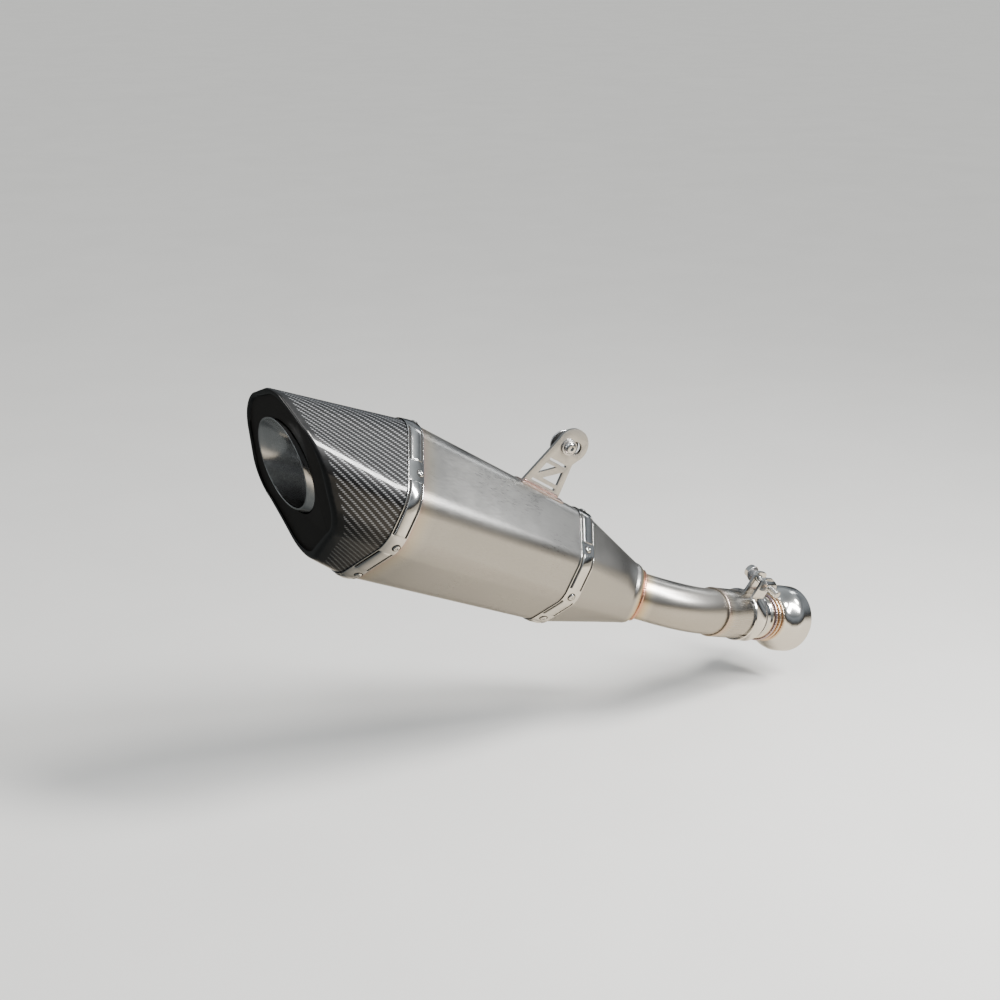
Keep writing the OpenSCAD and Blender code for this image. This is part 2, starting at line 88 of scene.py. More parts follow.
outlet_at = 375
silencer_dir = -Vector(mounts["outlet_bore"]["axis"])
weld_point = Vector(mounts["outlet_bore"]["pos_m"]) + silencer_dir * outlet_at * MM
SILENCER = frame_at(weld_point, silencer_dir)
weld_dir = heading(-22, 19)
PIPE_END = frame_at(weld_point, weld_dir)
joint_dir = Vector(mounts["inlet_bore"]["axis"])
JOINT = frame_at(Vector(mounts["inlet_bore"]["pos_m"]), joint_dir)
clamp_at = 88
clamp_bolt_z = 47
ear_gap, ear_t = 9, 3
ear_face = ear_gap / 2 + ear_t
trunnion_off, trunnion_r, clamp_washer_t = 1.5, 6.5, 1.6
CLAMP = JOINT @ moved(-clamp_at, 0, 0) @ turned_by(20, "X")
CLAMP_BOLT = CLAMP @ moved(0, 0, clamp_bolt_z) @ turned_by(90, "Z")
HANGER = frame_at(Vector(joints["hanger_bolt_turn"]["pos_m"]), Vector((0, 1, 0)))

FRONT, REAR, TIP = (110, 48, 62.5), (338, 76, 82.5), (500, 57, 60)
front_at, rear_at, tip_at = FRONT[0], REAR[0], TIP[0]
sleeve_wall = 1.2
strap_w, strap_t = 18, 1.4
rivet_angles = (0, 50, 110, 160, 200, 250, 310)
rim_at, face_recess = 438, 3
lip_wall = 5.4
along_x, along_y = (0, math.pi / 2, 0), (math.pi / 2, 0, 0)
square_on = (math.pi / 2, 0, math.pi / 2)
slash_normal = (turned_by(16.7, "Z") @ turned_by(-35.3, "Y") @ Vector((1, 0, 0))).normalized()
outlet_r, outlet_wall, outlet_proud = 36.5, 1.5, 5
pipe_r, pipe_wall, bend_r = 25.4, 1.2, 115
socket_at, socket_len, socket_bore, socket_r = 145, 70, 26, 27.4
spigot_r, stub_wall, mouth_r = 23.8, 1.5, 38.1
plate_at, plate_len, plate_t, foot_t = 194, 48, 4, 1.4
top_fall = math.degrees(math.atan((REAR[2] - FRONT[2]) / (rear_at - front_at)))


def half_sizes(s):
    """Half width and half height of the silencer at a distance s behind the weld."""
    a, b = (FRONT, REAR) if s <= rear_at else (REAR, TIP)
    share = (s - a[0]) / (b[0] - a[0])
    return a[1] + (b[1] - a[1]) * share, a[2] + (b[2] - a[2]) * share


PLATE = (
    SILENCER @ moved(
        -plate_at, 0, half_sizes(plate_at)[1] + foot_t
    ) @ turned_by(top_fall, "Y") @ turned_by(90, "X")
)

# ---------------------------------------------------------------- modelling


def deselect():
    if bpy.context.object and bpy.context.object.mode != "OBJECT":
        bpy.ops.object.mode_set(mode="OBJECT")
    bpy.ops.object.select_all(action="DESELECT")


def only(piece):
    """Selects the piece alone and makes it active."""
    deselect()
    piece.select_set(True)
    bpy.context.view_layer.objects.active = piece


def begin(name):
    """Names the new primitive and puts its place into its mesh."""
    piece = bpy.context.active_object
    piece.name = piece.data.name = name
    bpy.ops.object.transform_apply(location=True, rotation=True, scale=True)
    return piece


def edit(piece, select="NONE", mode="VERT"):
    only(piece)
    bpy.ops.object.mode_set(mode="EDIT")
    bpy.ops.mesh.select_mode(type=mode)
    bpy.ops.mesh.select_all(action="SELECT" if select == "ALL" else "DESELECT")


def done():
    bpy.ops.object.mode_set(mode="OBJECT")


def pick(piece, mode, test):
    """Edit mode with only the vertices, edges or faces that pass the test selected."""
    edit(piece, "NONE", mode)
    done()
    mesh = piece.data
    if mode == "VERT":
        for vertex in mesh.vertices:
            vertex.select = bool(test(vertex.co))
    elif mode == "EDGE":
        for edge in mesh.edges:
            edge.select = bool(test(*(mesh.vertices[i].co for i in edge.vertices)))
    else:
        for face in mesh.polygons:
            face.select = bool(test(face.center, face.normal))
    bpy.ops.object.mode_set(mode="EDIT")


def outward(piece):
    """Merges doubles and turns every face outwards."""
    edit(piece, "ALL")
    bpy.ops.mesh.remove_doubles(threshold=0.001)
    bpy.ops.mesh.normals_make_consistent(inside=False)
    done()
    return piece


def modifier(piece, kind, **settings):
    """Adds a modifier and applies it."""
    only(piece)
    made = piece.modifiers.new(kind.lower(), kind)
    for key, value in settings.items():
        setattr(made, key, value)
    bpy.ops.object.modifier_apply(modifier=made.name)
    return piece


def rounded(piece, width, segments=2, angle=30):
    """Rounds every edge that is sharper than angle."""
    return modifier(
        piece, "BEVEL", width=width, segments=segments, limit_method="ANGLE",
        angle_limit=math.radians(angle), use_clamp_overlap=True
    )


def joined(name, pieces):
    deselect()
    for piece in pieces:
        piece.select_set(True)
    bpy.context.view_layer.objects.active = pieces[0]
    if len(pieces) > 1:
        bpy.ops.object.join()
    pieces[0].name = pieces[0].data.name = name
    return pieces[0]


def put(piece, place):
    """Moves the piece's mesh by a matrix, so that its object stays at the origin."""
    only(piece)
    piece.matrix_world = place
    bpy.ops.object.transform_apply(location=True, rotation=True, scale=True)
    return piece


def cut(piece, tool, operation="DIFFERENCE"):
    """Cuts the piece with a tool piece, which is used up."""
    modifier(piece, "BOOLEAN", object=tool, operation=operation, solver="EXACT")
    bpy.data.objects.remove(tool)
    return piece


def cylinder(name, vertices, radius, depth, location=(0, 0, 0), rotation=(0, 0, 0)):
    deselect()
    bpy.ops.mesh.primitive_cylinder_add(
        vertices=vertices, radius=radius, depth=depth, location=location, rotation=rotation
    )
    return begin(name)


def block(name, sizes, location):
    deselect()
    bpy.ops.mesh.primitive_cube_add(size=1, scale=sizes, location=location)
    return begin(name)


def turned(name, rings, vertices=96):
    """A part turned about X. Rings are (place, radius); the last may close on the first or on the axis."""
    deselect()
    place, radius = rings[0]
    bpy.ops.mesh.primitive_circle_add(
        vertices=vertices, radius=radius, location=(place, 0, 0), rotation=along_x
    )
    piece = begin(name)
    edit(piece, "ALL")
    for next_place, next_radius in rings[1:]:
        bpy.ops.mesh.extrude_region_move(TRANSFORM_OT_translate={"value": (next_place - place, 0, 0)})
        grow = max(next_radius, 0.001) / radius
        bpy.ops.transform.resize(value=(1, grow, grow), center_override=(0, 0, 0))
        place, radius = next_place, max(next_radius, 0.001)
    if radius <= 0.001:
        bpy.ops.mesh.merge(type="CENTER")
    done()
    if rings[-1] != rings[0]:
        edit(piece, "NONE")
        bpy.ops.mesh.select_non_manifold()
        bpy.ops.mesh.fill_holes(sides=0)
        done()
    return outward(piece)


def ring_arc(x, r, reach, start, end, steps=6):
    """Rings round an arc of the profile about (x, r), from angle start to angle end, in degrees."""
    return [
        (
            x + reach * math.cos(math.radians(start + (end - start) * i / steps)),
            r + reach * math.sin(math.radians(start + (end - start) * i / steps))
        )
        for i in range(steps + 1)
    ]


def section_ring(s, grow=0.0):
    """The silencer's section at s behind the weld: a hexagon with its corners rounded."""
    half_w, half_h = (size + grow for size in half_sizes(s))
    corner = half_w * (0.45 + 0.3 * max(s - rear_at - 20, 0) / (tip_at - rear_at))
    flat = 24.75 - 0.18 * half_h
    lean = math.atan2(half_w - corner, half_h - corner - flat)
    apex = half_h - corner + corner / math.sin(lean)
    shoulder = half_h - corner + (corner - half_w * math.cos(lean)) / math.sin(lean)
    deselect()
    bpy.ops.mesh.primitive_circle_add(
        vertices=6, radius=1, fill_type="NGON", location=(-s, 0, 0), rotation=square_on
    )
    ring = begin("ring")
    edit(ring, "ALL")
    bpy.ops.transform.resize(value=(1, half_w / math.sin(math.pi / 3), apex), center_override=(0, 0, 0))
    pick(ring, "VERT", lambda v: abs(v.y) > 1)
    bpy.ops.transform.resize(value=(1, 1, shoulder / (apex / 2)), center_override=(0, 0, 0))
    pick(ring, "VERT", lambda v: abs(v.y) < 1)
    bpy.ops.mesh.bevel(affect="VERTICES", offset=corner / math.tan(lean), segments=14)
    pick(ring, "VERT", lambda v: abs(v.y) > half_w - 0.01)
    bpy.ops.mesh.bevel(affect="VERTICES", offset=corner * math.tan(lean / 2), segments=12)
    edit(ring, "ALL", "FACE")
    bpy.ops.mesh.delete(type="ONLY_FACE")
    pick(ring, "EDGE", lambda a, b: (a - b).length > 9)
    bpy.ops.mesh.subdivide(number_cuts=11)
    done()
    return ring


def bridge(piece, cuts=0):
    """Bridges the piece's loose rings in a row."""
    edit(piece, "ALL", "EDGE")
    bpy.ops.mesh.bridge_edge_loops(type="SINGLE", number_cuts=cuts, interpolation="LINEAR")
    done()
    return piece


def loft(name, stations, grow=0.0, cuts=0):
    return bridge(joined(name, [section_ring(s, grow) for s in stations]), cuts)


def slashed(piece, s, keep_front=True):
    """Cuts the piece along the slash plane that crosses the axis at s, and leaves the cut open."""
    edit(piece, "ALL")
    bpy.ops.mesh.bisect(
        plane_co=(-s, 0, 0), plane_no=slash_normal, clear_inner=keep_front, clear_outer=not keep_front
    )
    done()
    return piece


def slash_depth(point, s):
    """How far a point lies in front of the slash plane that crosses the axis at s."""
    return (point - Vector((-s, 0, 0))).dot(slash_normal)


def on_slash(s):
    """A test for the edges in the slash plane that crosses the axis at s."""
    return lambda a, b: all(abs(slash_depth(v, s)) < 0.01 for v in (a, b))


def shade(piece, angle=35):
    only(piece)
    bpy.ops.object.shade_smooth_by_angle(angle=math.radians(angle))
    return piece


def finish_piece(piece, place, body, slot, material, *nodes, angle=35):
    """Sets the piece in the shared frame, gives it its material and lets it ride on its body."""
    put(piece, place)
    shade(piece, angle)
    if material:
        piece.data.materials.clear()
        piece.data.materials.append(material)
    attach(piece, body)
    if nodes:
        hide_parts(*nodes)
    return piece


# ---------------------------------------------------------------- materials


def new_group(name, inputs, outputs):
    """An empty shader group with named sockets. Returns it with what it is given and what it puts out."""
    group = bpy.data.node_groups.new(name, "ShaderNodeTree")
    for socket, kind, value in inputs:
        made = group.interface.new_socket(socket, in_out="INPUT", socket_type=kind)
        if value is not None:
            made.default_value = value
    for socket, kind in outputs:
        group.interface.new_socket(socket, in_out="OUTPUT", socket_type=kind)
    return group, group.nodes.new("NodeGroupInput").outputs, group.nodes.new("NodeGroupOutput").inputs


def node(tree, kind, links=None, **settings):
    """A node with its settings, and its inputs set to values or linked to sockets."""
    made = tree.nodes.new("ShaderNode" + kind)
    for key, value in settings.items():
        setattr(made, key, value)
    for socket, value in (links or {}).items():
        if isinstance(value, bpy.types.NodeSocket):
            tree.links.new(value, made.inputs[socket])
        else:
            made.inputs[socket].default_value = value
    return made


def math_node(tree, operation, a, b=None, c=None, clamp=False):
    links = {i: value for i, value in enumerate((a, b, c)) if value is not None}
    return node(tree, "Math", links, operation=operation, use_clamp=clamp).outputs[0]


def mix_colors(tree, factor, a, b):
    return node(tree, "Mix", {0: factor, 6: a, 7: b}, data_type="RGBA").outputs[2]


def noise(tree, point, scale, detail, roughness=0.5):
    links = {"Vector": point, "Scale": scale, "Detail": detail, "Roughness": roughness}
    return node(tree, "TexNoise", links).outputs["Fac"]


def spread(tree, value, start, end, low=0.0, high=1.0):
    """The value's range start to end spread over low to high."""
    links = {"Value": value, "From Min": start, "From Max": end, "To Min": low, "To Max": high}
    return node(tree, "MapRange", links).outputs["Result"]


def ramp(tree, factor, stops):
    made = node(tree, "ValToRGB", {"Fac": factor})
    elements = made.color_ramp.elements
    while len(elements) < len(stops):
        elements.new(0.5)
    for element, (place, color) in zip(elements, stops):
        element.position = place
        element.color = (*color, 1)
    return made.outputs["Color"]


def grain_group():
    """Fine brush lines along X of the vector, in millimetres."""
    group, given, result = new_group(
        "brush_lines",
        [
            ("Vector", "NodeSocketVector", None), ("Length", "NodeSocketFloat", 0.04),
            ("Fineness", "NodeSocketFloat", 1.6)
        ],
        [("Lines", "NodeSocketFloat"), ("Blotch", "NodeSocketFloat")]
    )
    stretch = node(
        group, "CombineXYZ", {"X": given["Length"], "Y": given["Fineness"], "Z": given["Fineness"]}
    )
    stretched = node(group, "VectorMath", {0: given["Vector"], 1: stretch.outputs[0]}, operation="MULTIPLY")
    lines = noise(group, stretched.outputs[0], 1.0, 3.0, 0.6)
    blotch = noise(group, given["Vector"], 0.018, 2.0)
    group.links.new(lines, result["Lines"])
    group.links.new(blotch, result["Blotch"])
    return group


def tint_group():
    """Heat colours that fade with the distance from a weld: purple, blue, copper, straw, bare."""
    group, given, result = new_group(
        "heat_tint",
        [
            ("Bare", "NodeSocketColor", (0.6, 0.6, 0.6, 1)), ("Distance", "NodeSocketFloat", 0.0),
            ("Reach", "NodeSocketFloat", 10.0), ("Amount", "NodeSocketFloat", 1.0)
        ],
        [("Color", "NodeSocketColor")]
    )
    share = math_node(group, "DIVIDE", given["Distance"], given["Reach"], clamp=True)
    tint = ramp(
        group, share,
        [
            (0.0, (0.62, 0.33, 0.24)), (0.16, (0.66, 0.36, 0.25)), (0.3, (0.7, 0.5, 0.28)),
            (0.55, (0.8, 0.68, 0.42)), (1.0, (0.85, 0.82, 0.76))
        ]
    )
    fade = math_node(group, "SUBTRACT", 1.0, share)
    strength = math_node(group, "MULTIPLY", fade, given["Amount"], clamp=True)
    mixed = mix_colors(group, strength, given["Bare"], tint)
    group.links.new(mixed, result["Color"])
    return group


def twill_group():
    """Two-by-two twill in tows of the given width; the vector's X and Y are in millimetres."""
    group, given, result = new_group(
        "twill_weave", [("Vector", "NodeSocketVector", None), ("Tow", "NodeSocketFloat", 1.6)],
        [("Warp", "NodeSocketFloat"), ("Height", "NodeSocketFloat"), ("Fibre", "NodeSocketFloat")]
    )
    axes = node(group, "SeparateXYZ", {0: given["Vector"]})
    across = [math_node(group, "DIVIDE", axes.outputs[i], given["Tow"]) for i in (0, 1)]
    cell = [math_node(group, "FLOOR", value) for value in across]
    step = math_node(group, "FLOORED_MODULO", math_node(group, "ADD", cell[0], cell[1]), 4.0)
    warp = math_node(group, "LESS_THAN", step, 1.5)
    crowns, fibres = [], []
    for this, other, start in ((1, 0, 2.0), (0, 1, 0.0)):
        width = math_node(
            group, "SINE", math_node(group, "MULTIPLY", math_node(group, "FRACT", across[this]), math.pi)
        )
        run = math_node(group, "FLOORED_MODULO", math_node(group, "ADD", across[other], cell[this]), 4.0)
        share = math_node(group, "MULTIPLY", math_node(group, "SUBTRACT", run, start), math.pi / 2)
        length = math_node(group, "SINE", share, clamp=True)
        crowns.append(math_node(group, "MULTIPLY", width, math_node(group, "POWER", length, 0.6)))
        stretch = (0.25, 9.0, 1.0) if this else (9.0, 0.25, 1.0)
        line = node(group, "VectorMath", {0: given["Vector"], 1: stretch}, operation="MULTIPLY")
        fibres.append(noise(group, line.outputs[0], 1.0, 1.0))
    for name, pair in (("Height", crowns), ("Fibre", fibres)):
        chosen = node(group, "Mix", {0: warp, 2: pair[0], 3: pair[1]}, data_type="FLOAT")
        group.links.new(chosen.outputs[0], result[name])
    group.links.new(warp, result["Warp"])
    return group


BRUSH, TINT, TWILL = grain_group(), tint_group(), twill_group()


def start_material(name, **shader):
    """A material with a Principled shader. Returns the material, its tree and the shader."""
    material = bpy.data.materials.new(name)
    material.use_nodes = True
    tree = material.node_tree
    principled = tree.nodes["Principled BSDF"]
    for socket, value in shader.items():
        principled.inputs[socket.replace("_", " ")].default_value = value
    return material, tree, principled


def millimetres(tree, place):
    """Object coordinates in millimetres, in the frame of a part."""
    at, turn, _ = place.inverted().decompose()
    coordinates = node(tree, "TexCoord")
    mapping = node(
        tree, "Mapping",
        {
            "Vector": coordinates.outputs["Object"], "Location": at, "Rotation": turn.to_euler(),
            "Scale": (1 / MM,) * 3
        },
        vector_type="POINT"
    )
    return mapping.outputs["Vector"]


def group_node(tree, group, **links):
    return node(tree, "Group", links, node_tree=group).outputs


def scaled(tree, value, low, high):
    """The value's range 0.3 to 0.7 spread over low to high."""
    return spread(tree, value, 0.3, 0.7, low, high)


def tones(tree, value, dark, light):
    """The value's range 0.3 to 0.7 as a range of colours."""
    return mix_colors(tree, scaled(tree, value, 0.0, 1.0), (*dark, 1), (*light, 1))


def surface(tree, principled, color, rough):
    tree.links.new(color, principled.inputs["Base Color"])
    tree.links.new(rough, principled.inputs["Roughness"])


def bump(tree, principled, height, distance, strength=1.0):
    made = node(tree, "Bump", {"Height": height, "Distance": distance, "Strength": strength})
    tree.links.new(made.outputs["Normal"], principled.inputs["Normal"])


def brushed_metal(
    name, color, place, roughness, lines=0.12, weld_at=(), reach=14.0, amount=1.0, brush=(0.04, 1.6),
    **shader
):
    """Brushed steel with its grain along the part's X, and heat colours each side of its welds."""
    material, tree, principled = start_material(name, Metallic=1.0, **shader)
    point = millimetres(tree, place)
    grain = group_node(tree, BRUSH, Vector=point, Length=brush[0], Fineness=brush[1])
    shadow = tuple(channel * (1 - lines) for channel in color)
    base = tones(tree, grain["Lines"], shadow, color)
    along = node(tree, "SeparateXYZ", {0: point}).outputs[0]
    for at in weld_at:
        apart = math_node(tree, "ABSOLUTE", math_node(tree, "SUBTRACT", along, at))
        base = group_node(tree, TINT, Bare=base, Distance=apart, Reach=reach, Amount=amount)["Color"]
    rough = math_node(
        tree, "ADD", scaled(tree, grain["Lines"], roughness * 0.88, roughness * 1.12),
        scaled(tree, grain["Blotch"], -0.03, 0.03)
    )
    surface(tree, principled, base, rough)
    bump(tree, principled, grain["Lines"], 0.00002, 0.25)
    return material


def polished_metal(name, color, place, roughness=0.09, smear=0.05, **shader):
    """Polished steel with faint rubbing marks and hand smears."""
    material, tree, principled = start_material(name, Metallic=1.0, **shader)
    point = millimetres(tree, place)
    marks = noise(tree, point, 0.09, 4.0, 0.6)
    fine = noise(tree, point, 1.4, 2.0)
    dull = tuple(channel * 0.86 for channel in color)
    surface(
        tree, principled, tones(tree, marks, dull, color), scaled(tree, marks, roughness, roughness + smear)
    )
    bump(tree, principled, fine, 0.000015, 0.4)
    return material


def carbon_lacquer(name, tow, turn):
    """Woven carbon under clear lacquer, plain along the rim. The weave follows the piece's own map. The warp tows
    are painted far lighter than the weft as a painted sheen, and the tows darken towards their edges as painted
    shade.
    """
    material, tree, principled = start_material(name, Metallic=0.3)
    principled.inputs["Coat Weight"].default_value = 1.0
    principled.inputs["Coat Roughness"].default_value = 0.05
    principled.inputs["Specular IOR Level"].default_value = 0.3
    coordinates = node(tree, "TexCoord")
    cloth = node(
        tree, "Mapping",
        {
            "Vector": coordinates.outputs["UV"], "Rotation": (0, 0, math.radians(turn)),
            "Scale": (1000, 1000, 1)
        }
    )
    weave = group_node(tree, TWILL, Vector=cloth.outputs["Vector"], Tow=tow)
    fibre = scaled(tree, weave["Fibre"], 0, 1)
    # Painted sheen: warp tows far lighter than the weft, standing in for the light the fibres reflect.
    warp_sheen_color = mix_colors(tree, fibre, (0.12, 0.123, 0.13, 1), (0.42, 0.43, 0.45, 1))
    weft_color = mix_colors(tree, fibre, (0.001, 0.001, 0.0015, 1), (0.006, 0.006, 0.007, 1))
    tone = mix_colors(tree, weave["Warp"], weft_color, warp_sheen_color)
    # Painted shade: the tows turn near-black towards their edges and ends, lightest on their crowns.
    edge = spread(tree, weave["Height"], 0.25, 0.9)
    weave_with_painted_sheen = mix_colors(tree, edge, (0.002, 0.002, 0.0025, 1), tone)
    point = millimetres(tree, SILENCER @ moved(-rim_at, 0, 0))
    depth = node(tree, "VectorMath", {0: point, 1: slash_normal}, operation="DOT_PRODUCT").outputs["Value"]
    inside = spread(tree, depth, 7.4, 8.2)
    mottle = noise(tree, point, 0.3, 3.0)
    rim_color = tones(tree, mottle, (0.004, 0.004, 0.004), (0.01, 0.01, 0.011))
    color = mix_colors(tree, inside, rim_color, weave_with_painted_sheen)
    surface(tree, principled, color, scaled(tree, weave["Fibre"], 0.3, 0.48))
    height = math_node(tree, "MULTIPLY", weave["Height"], inside)
    bump(tree, principled, height, 0.00012, 0.5)
    return material


def speckled(name, dark, light, place, roughness, grain, metallic=0.0, height=0.0001, **shader):
    """A matt or satin finish with a fine grain, such as rubber, graphite or fibre."""
    material, tree, principled = start_material(name, Metallic=metallic, **shader)
    point = millimetres(tree, place)
    fine = noise(tree, point, grain, 6.0, 0.65)
    broad = noise(tree, point, grain * 0.07, 2.0)
    tone = math_node(tree, "MULTIPLY", scaled(tree, fine, 0.3, 1.0), scaled(tree, broad, 0.6, 1.0))
    color = mix_colors(tree, tone, (*dark, 1), (*light, 1))
    surface(tree, principled, color, scaled(tree, fine, roughness * 0.85, min(roughness * 1.15, 1)))
    bump(tree, principled, fine, height, 0.6)
    return material


def face_satin(name):
    """The dark insert of the cap: satin, with a faint grain up and down."""
    material, tree, principled = start_material(name)
    principled.inputs["Specular IOR Level"].default_value = 0.35
    point = millimetres(tree, SILENCER @ turned_by(90, "Y"))
    grain = group_node(tree, BRUSH, Vector=point, Length=0.05, Fineness=1.1)
    color = tones(tree, grain["Lines"], (0.01, 0.0092, 0.0085), (0.024, 0.022, 0.02))
    surface(tree, principled, color, scaled(tree, grain["Lines"], 0.42, 0.55))
    bump(tree, principled, grain["Lines"], 0.00003, 0.5)
    return material


def hatched_plate(name):
    """Satin steel with fine slanting tool marks on the plate's cross bars."""
    material, tree, principled = start_material(name, Metallic=1.0)
    point = millimetres(tree, PLATE)
    grain = group_node(tree, BRUSH, Vector=point, Length=0.15, Fineness=1.5)
    base = tones(tree, grain["Lines"], (0.46, 0.455, 0.44), (0.57, 0.565, 0.545))
    across = node(tree, "SeparateXYZ", {0: point})
    slant = math_node(tree, "ADD", across.outputs[0], math_node(tree, "MULTIPLY", across.outputs[1], -0.7))
    marks = math_node(tree, "SINE", math_node(tree, "MULTIPLY", slant, 2 * math.pi / 1.5))
    bars = None
    for low, high in ((-0.5, 10.0), (26.5, 30.5)):
        above = math_node(tree, "GREATER_THAN", across.outputs[1], low)
        below = math_node(tree, "LESS_THAN", across.outputs[1], high)
        inside = math_node(tree, "MULTIPLY", above, below)
        bars = inside if bars is None else math_node(tree, "MAXIMUM", bars, inside)
    cut_marks = math_node(tree, "MULTIPLY", bars, math_node(tree, "MULTIPLY_ADD", marks, 0.5, 0.5))
    color = mix_colors(tree, math_node(tree, "MULTIPLY", cut_marks, 0.3), base, (0.4, 0.4, 0.42, 1))
    surface(tree, principled, color, scaled(tree, grain["Lines"], 0.3, 0.42))
    bump(tree, principled, math_node(tree, "ADD", cut_marks, grain["Lines"]), 0.00008, 0.6)
    return material


STEEL = (0.41, 0.408, 0.4)
WARM_STEEL = (0.47, 0.455, 0.43)
BRIGHT = (0.72, 0.72, 0.71)

sleeve_finish = brushed_metal(
    "sleeve_brushed", STEEL, SILENCER, 0.31, weld_at=(-rear_at + 6,), reach=26, amount=0.35, Anisotropic=0.4
)
cone_finish = brushed_metal("cone_brushed", STEEL, PIPE_END, 0.32, weld_at=(0.6,), reach=9, Anisotropic=0.4)
pipe_finish = brushed_metal(
    "pipe_brushed", WARM_STEEL, PIPE_END, 0.31, weld_at=(0.6,), reach=16, Anisotropic=0.4
)
socket_finish = brushed_metal(
    "socket_brushed", WARM_STEEL, JOINT, 0.26, weld_at=(-socket_at,), reach=14, amount=0.3
)
stub_finish = brushed_metal(
    "stub_polished", BRIGHT, JOINT, 0.15, lines=0.05, weld_at=(-41, -48, -55), reach=9, amount=0.8
)
rings_finish = brushed_metal("rings_tinted", (0.5, 0.4, 0.42), JOINT, 0.2, weld_at=(-44, -51), reach=5)
weld_finish = brushed_metal(
    "weld_bead", (0.78, 0.6, 0.5), PIPE_END, 0.24, lines=0.25, weld_at=(0.6,), reach=6
)
socket_weld_finish = brushed_metal(
    "socket_weld_bead", (0.6, 0.56, 0.5), JOINT, 0.25, lines=0.25, weld_at=(-socket_at,), reach=6,
    amount=0.25
)
foot_finish = brushed_metal("foot_tinted", (0.74, 0.6, 0.56), PLATE, 0.3, lines=0.2)
bracket_weld_finish = brushed_metal("bracket_weld_bead", (0.74, 0.52, 0.47), PLATE, 0.25, lines=0.3)
inner_finish = brushed_metal("inner_steel", (0.5, 0.49, 0.48), SILENCER, 0.42, lines=0.25)
strap_finish = polished_metal("strap_polished", BRIGHT, SILENCER, 0.1)
rivet_finish = polished_metal("rivet_polished", BRIGHT, SILENCER, 0.12)
outlet_finish = polished_metal("outlet_polished", (0.8, 0.8, 0.8), SILENCER, 0.13, 0.08)
bolt_finish = polished_metal("bolt_bright", BRIGHT, HANGER, 0.14)
zinc_finish = brushed_metal("zinc_steel", (0.68, 0.68, 0.69), HANGER, 0.28)
band_finish = polished_metal("band_polished", (0.82, 0.81, 0.79), CLAMP, 0.1)
clamp_bolt_finish = polished_metal("clamp_bolt_bright", BRIGHT, CLAMP, 0.14)
clamp_zinc_finish = brushed_metal("clamp_zinc", (0.7, 0.7, 0.71), CLAMP, 0.26)
# Near-black painted shade, used on the strap groove floors and in the ring under each rivet head.
painted_shade_finish = speckled("dark_tape", (0.004, 0.004, 0.004), (0.016, 0.015, 0.014), SILENCER, 0.7, 1.5)
rubber_finish = speckled("bush_rubber", (0.012, 0.012, 0.012), (0.04, 0.04, 0.04), HANGER, 0.75, 1.5)
graphite_finish = speckled(
    "graphite", (0.03, 0.03, 0.032), (0.1, 0.1, 0.105), JOINT, 0.55, 1.2, metallic=0.3
)
packing_finish = speckled(
    "fibre_packing", (0.45, 0.38, 0.2), (0.9, 0.83, 0.6), SILENCER, 0.9, 0.5, height=0.001
)
wool_finish = speckled(
    "steel_wool", (0.12, 0.12, 0.12), (0.55, 0.55, 0.54), SILENCER, 0.4, 1.1, metallic=0.9, height=0.0006
)
carbon_finish = carbon_lacquer("carbon_twill", 1.85, -69)
face_finish = face_satin("face_satin")
plate_finish = hatched_plate("plate_satin")

# ---------------------------------------------------------------- silencer body


def outer_sleeve():
    sleeve = outward(loft("sleeve", (front_at - 5, rear_at - 0.5), cuts=24))
    modifier(sleeve, "SOLIDIFY", thickness=sleeve_wall, offset=-1)
    return finish_piece(sleeve, SILENCER, "silencer", "brushed_sleeve", sleeve_finish, "outer_sleeve")


def round_ring(x, radius, vertices):
    """A ring about the pipe's rear end, in the silencer's frame."""
    deselect()
    bpy.ops.mesh.primitive_circle_add(
        vertices=vertices, radius=radius, location=(x, 0, 0), rotation=square_on
    )
    return put(begin("ring"), SILENCER.inverted() @ PIPE_END)


def inlet_cone():
    large = section_ring(front_at - 5.3)
    count = len(large.data.vertices)
    rings = [large] + [
        round_ring(x, r, count) for x, r in ((-11, 34), (-7, 33.2), (-4, 31.8), (-1.6, 29.6), (0, 26.8))
    ]
    cone = bridge(joined("cone", rings), cuts=4)
    outward(cone)
    modifier(cone, "SOLIDIFY", thickness=sleeve_wall, offset=-1)
    return finish_piece(cone, SILENCER, "silencer", "brushed_cone", cone_finish, "inlet_cone")


def angle_round(point):
    """Angle round the silencer from its top, 0 to 180 on either side."""
    return math.degrees(math.atan2(abs(point.y), point.z))


def strap(name, s, stations, node_name):
    """A pressed band: raised panels, each between two grooves whose floors are near-black, painted shade in the
    grooves.
    """
    band = outward(loft(name, stations, grow=strap_t))
    panels = ((9, 41), (58, 101), (118, 152), (168, 181))
    groove = (strap_w / 2 - 3.1, strap_w / 2 - 1.0)

    def on_panel(point):
        return any(low < angle_round(point) < high for low, high in panels)

    band.data.materials.append(strap_finish)
    band.data.materials.append(painted_shade_finish)
    # The groove floors get the near-black material: painted shade in the grooves.
    pick(band, "FACE", lambda c, n: groove[0] < abs(c.x + s) < groove[1] and on_panel(c))
    band.active_material_index = 1
    bpy.ops.mesh.extrude_region_shrink_fatten(TRANSFORM_OT_shrink_fatten={"value": -0.8})
    bpy.ops.object.material_slot_assign()
    done()
    pick(band, "FACE", lambda c, n: abs(c.x + s) < groove[0] and on_panel(c) and abs(n.x) < 0.5)
    bpy.ops.mesh.inset(thickness=0.8, depth=0.7, use_even_offset=True)
    done()
    modifier(band, "SOLIDIFY", thickness=0.5, offset=-1)
    rounded(band, 0.22, 2, 30)
    return finish_piece(band, SILENCER, "silencer", "polished_strap", None, node_name)


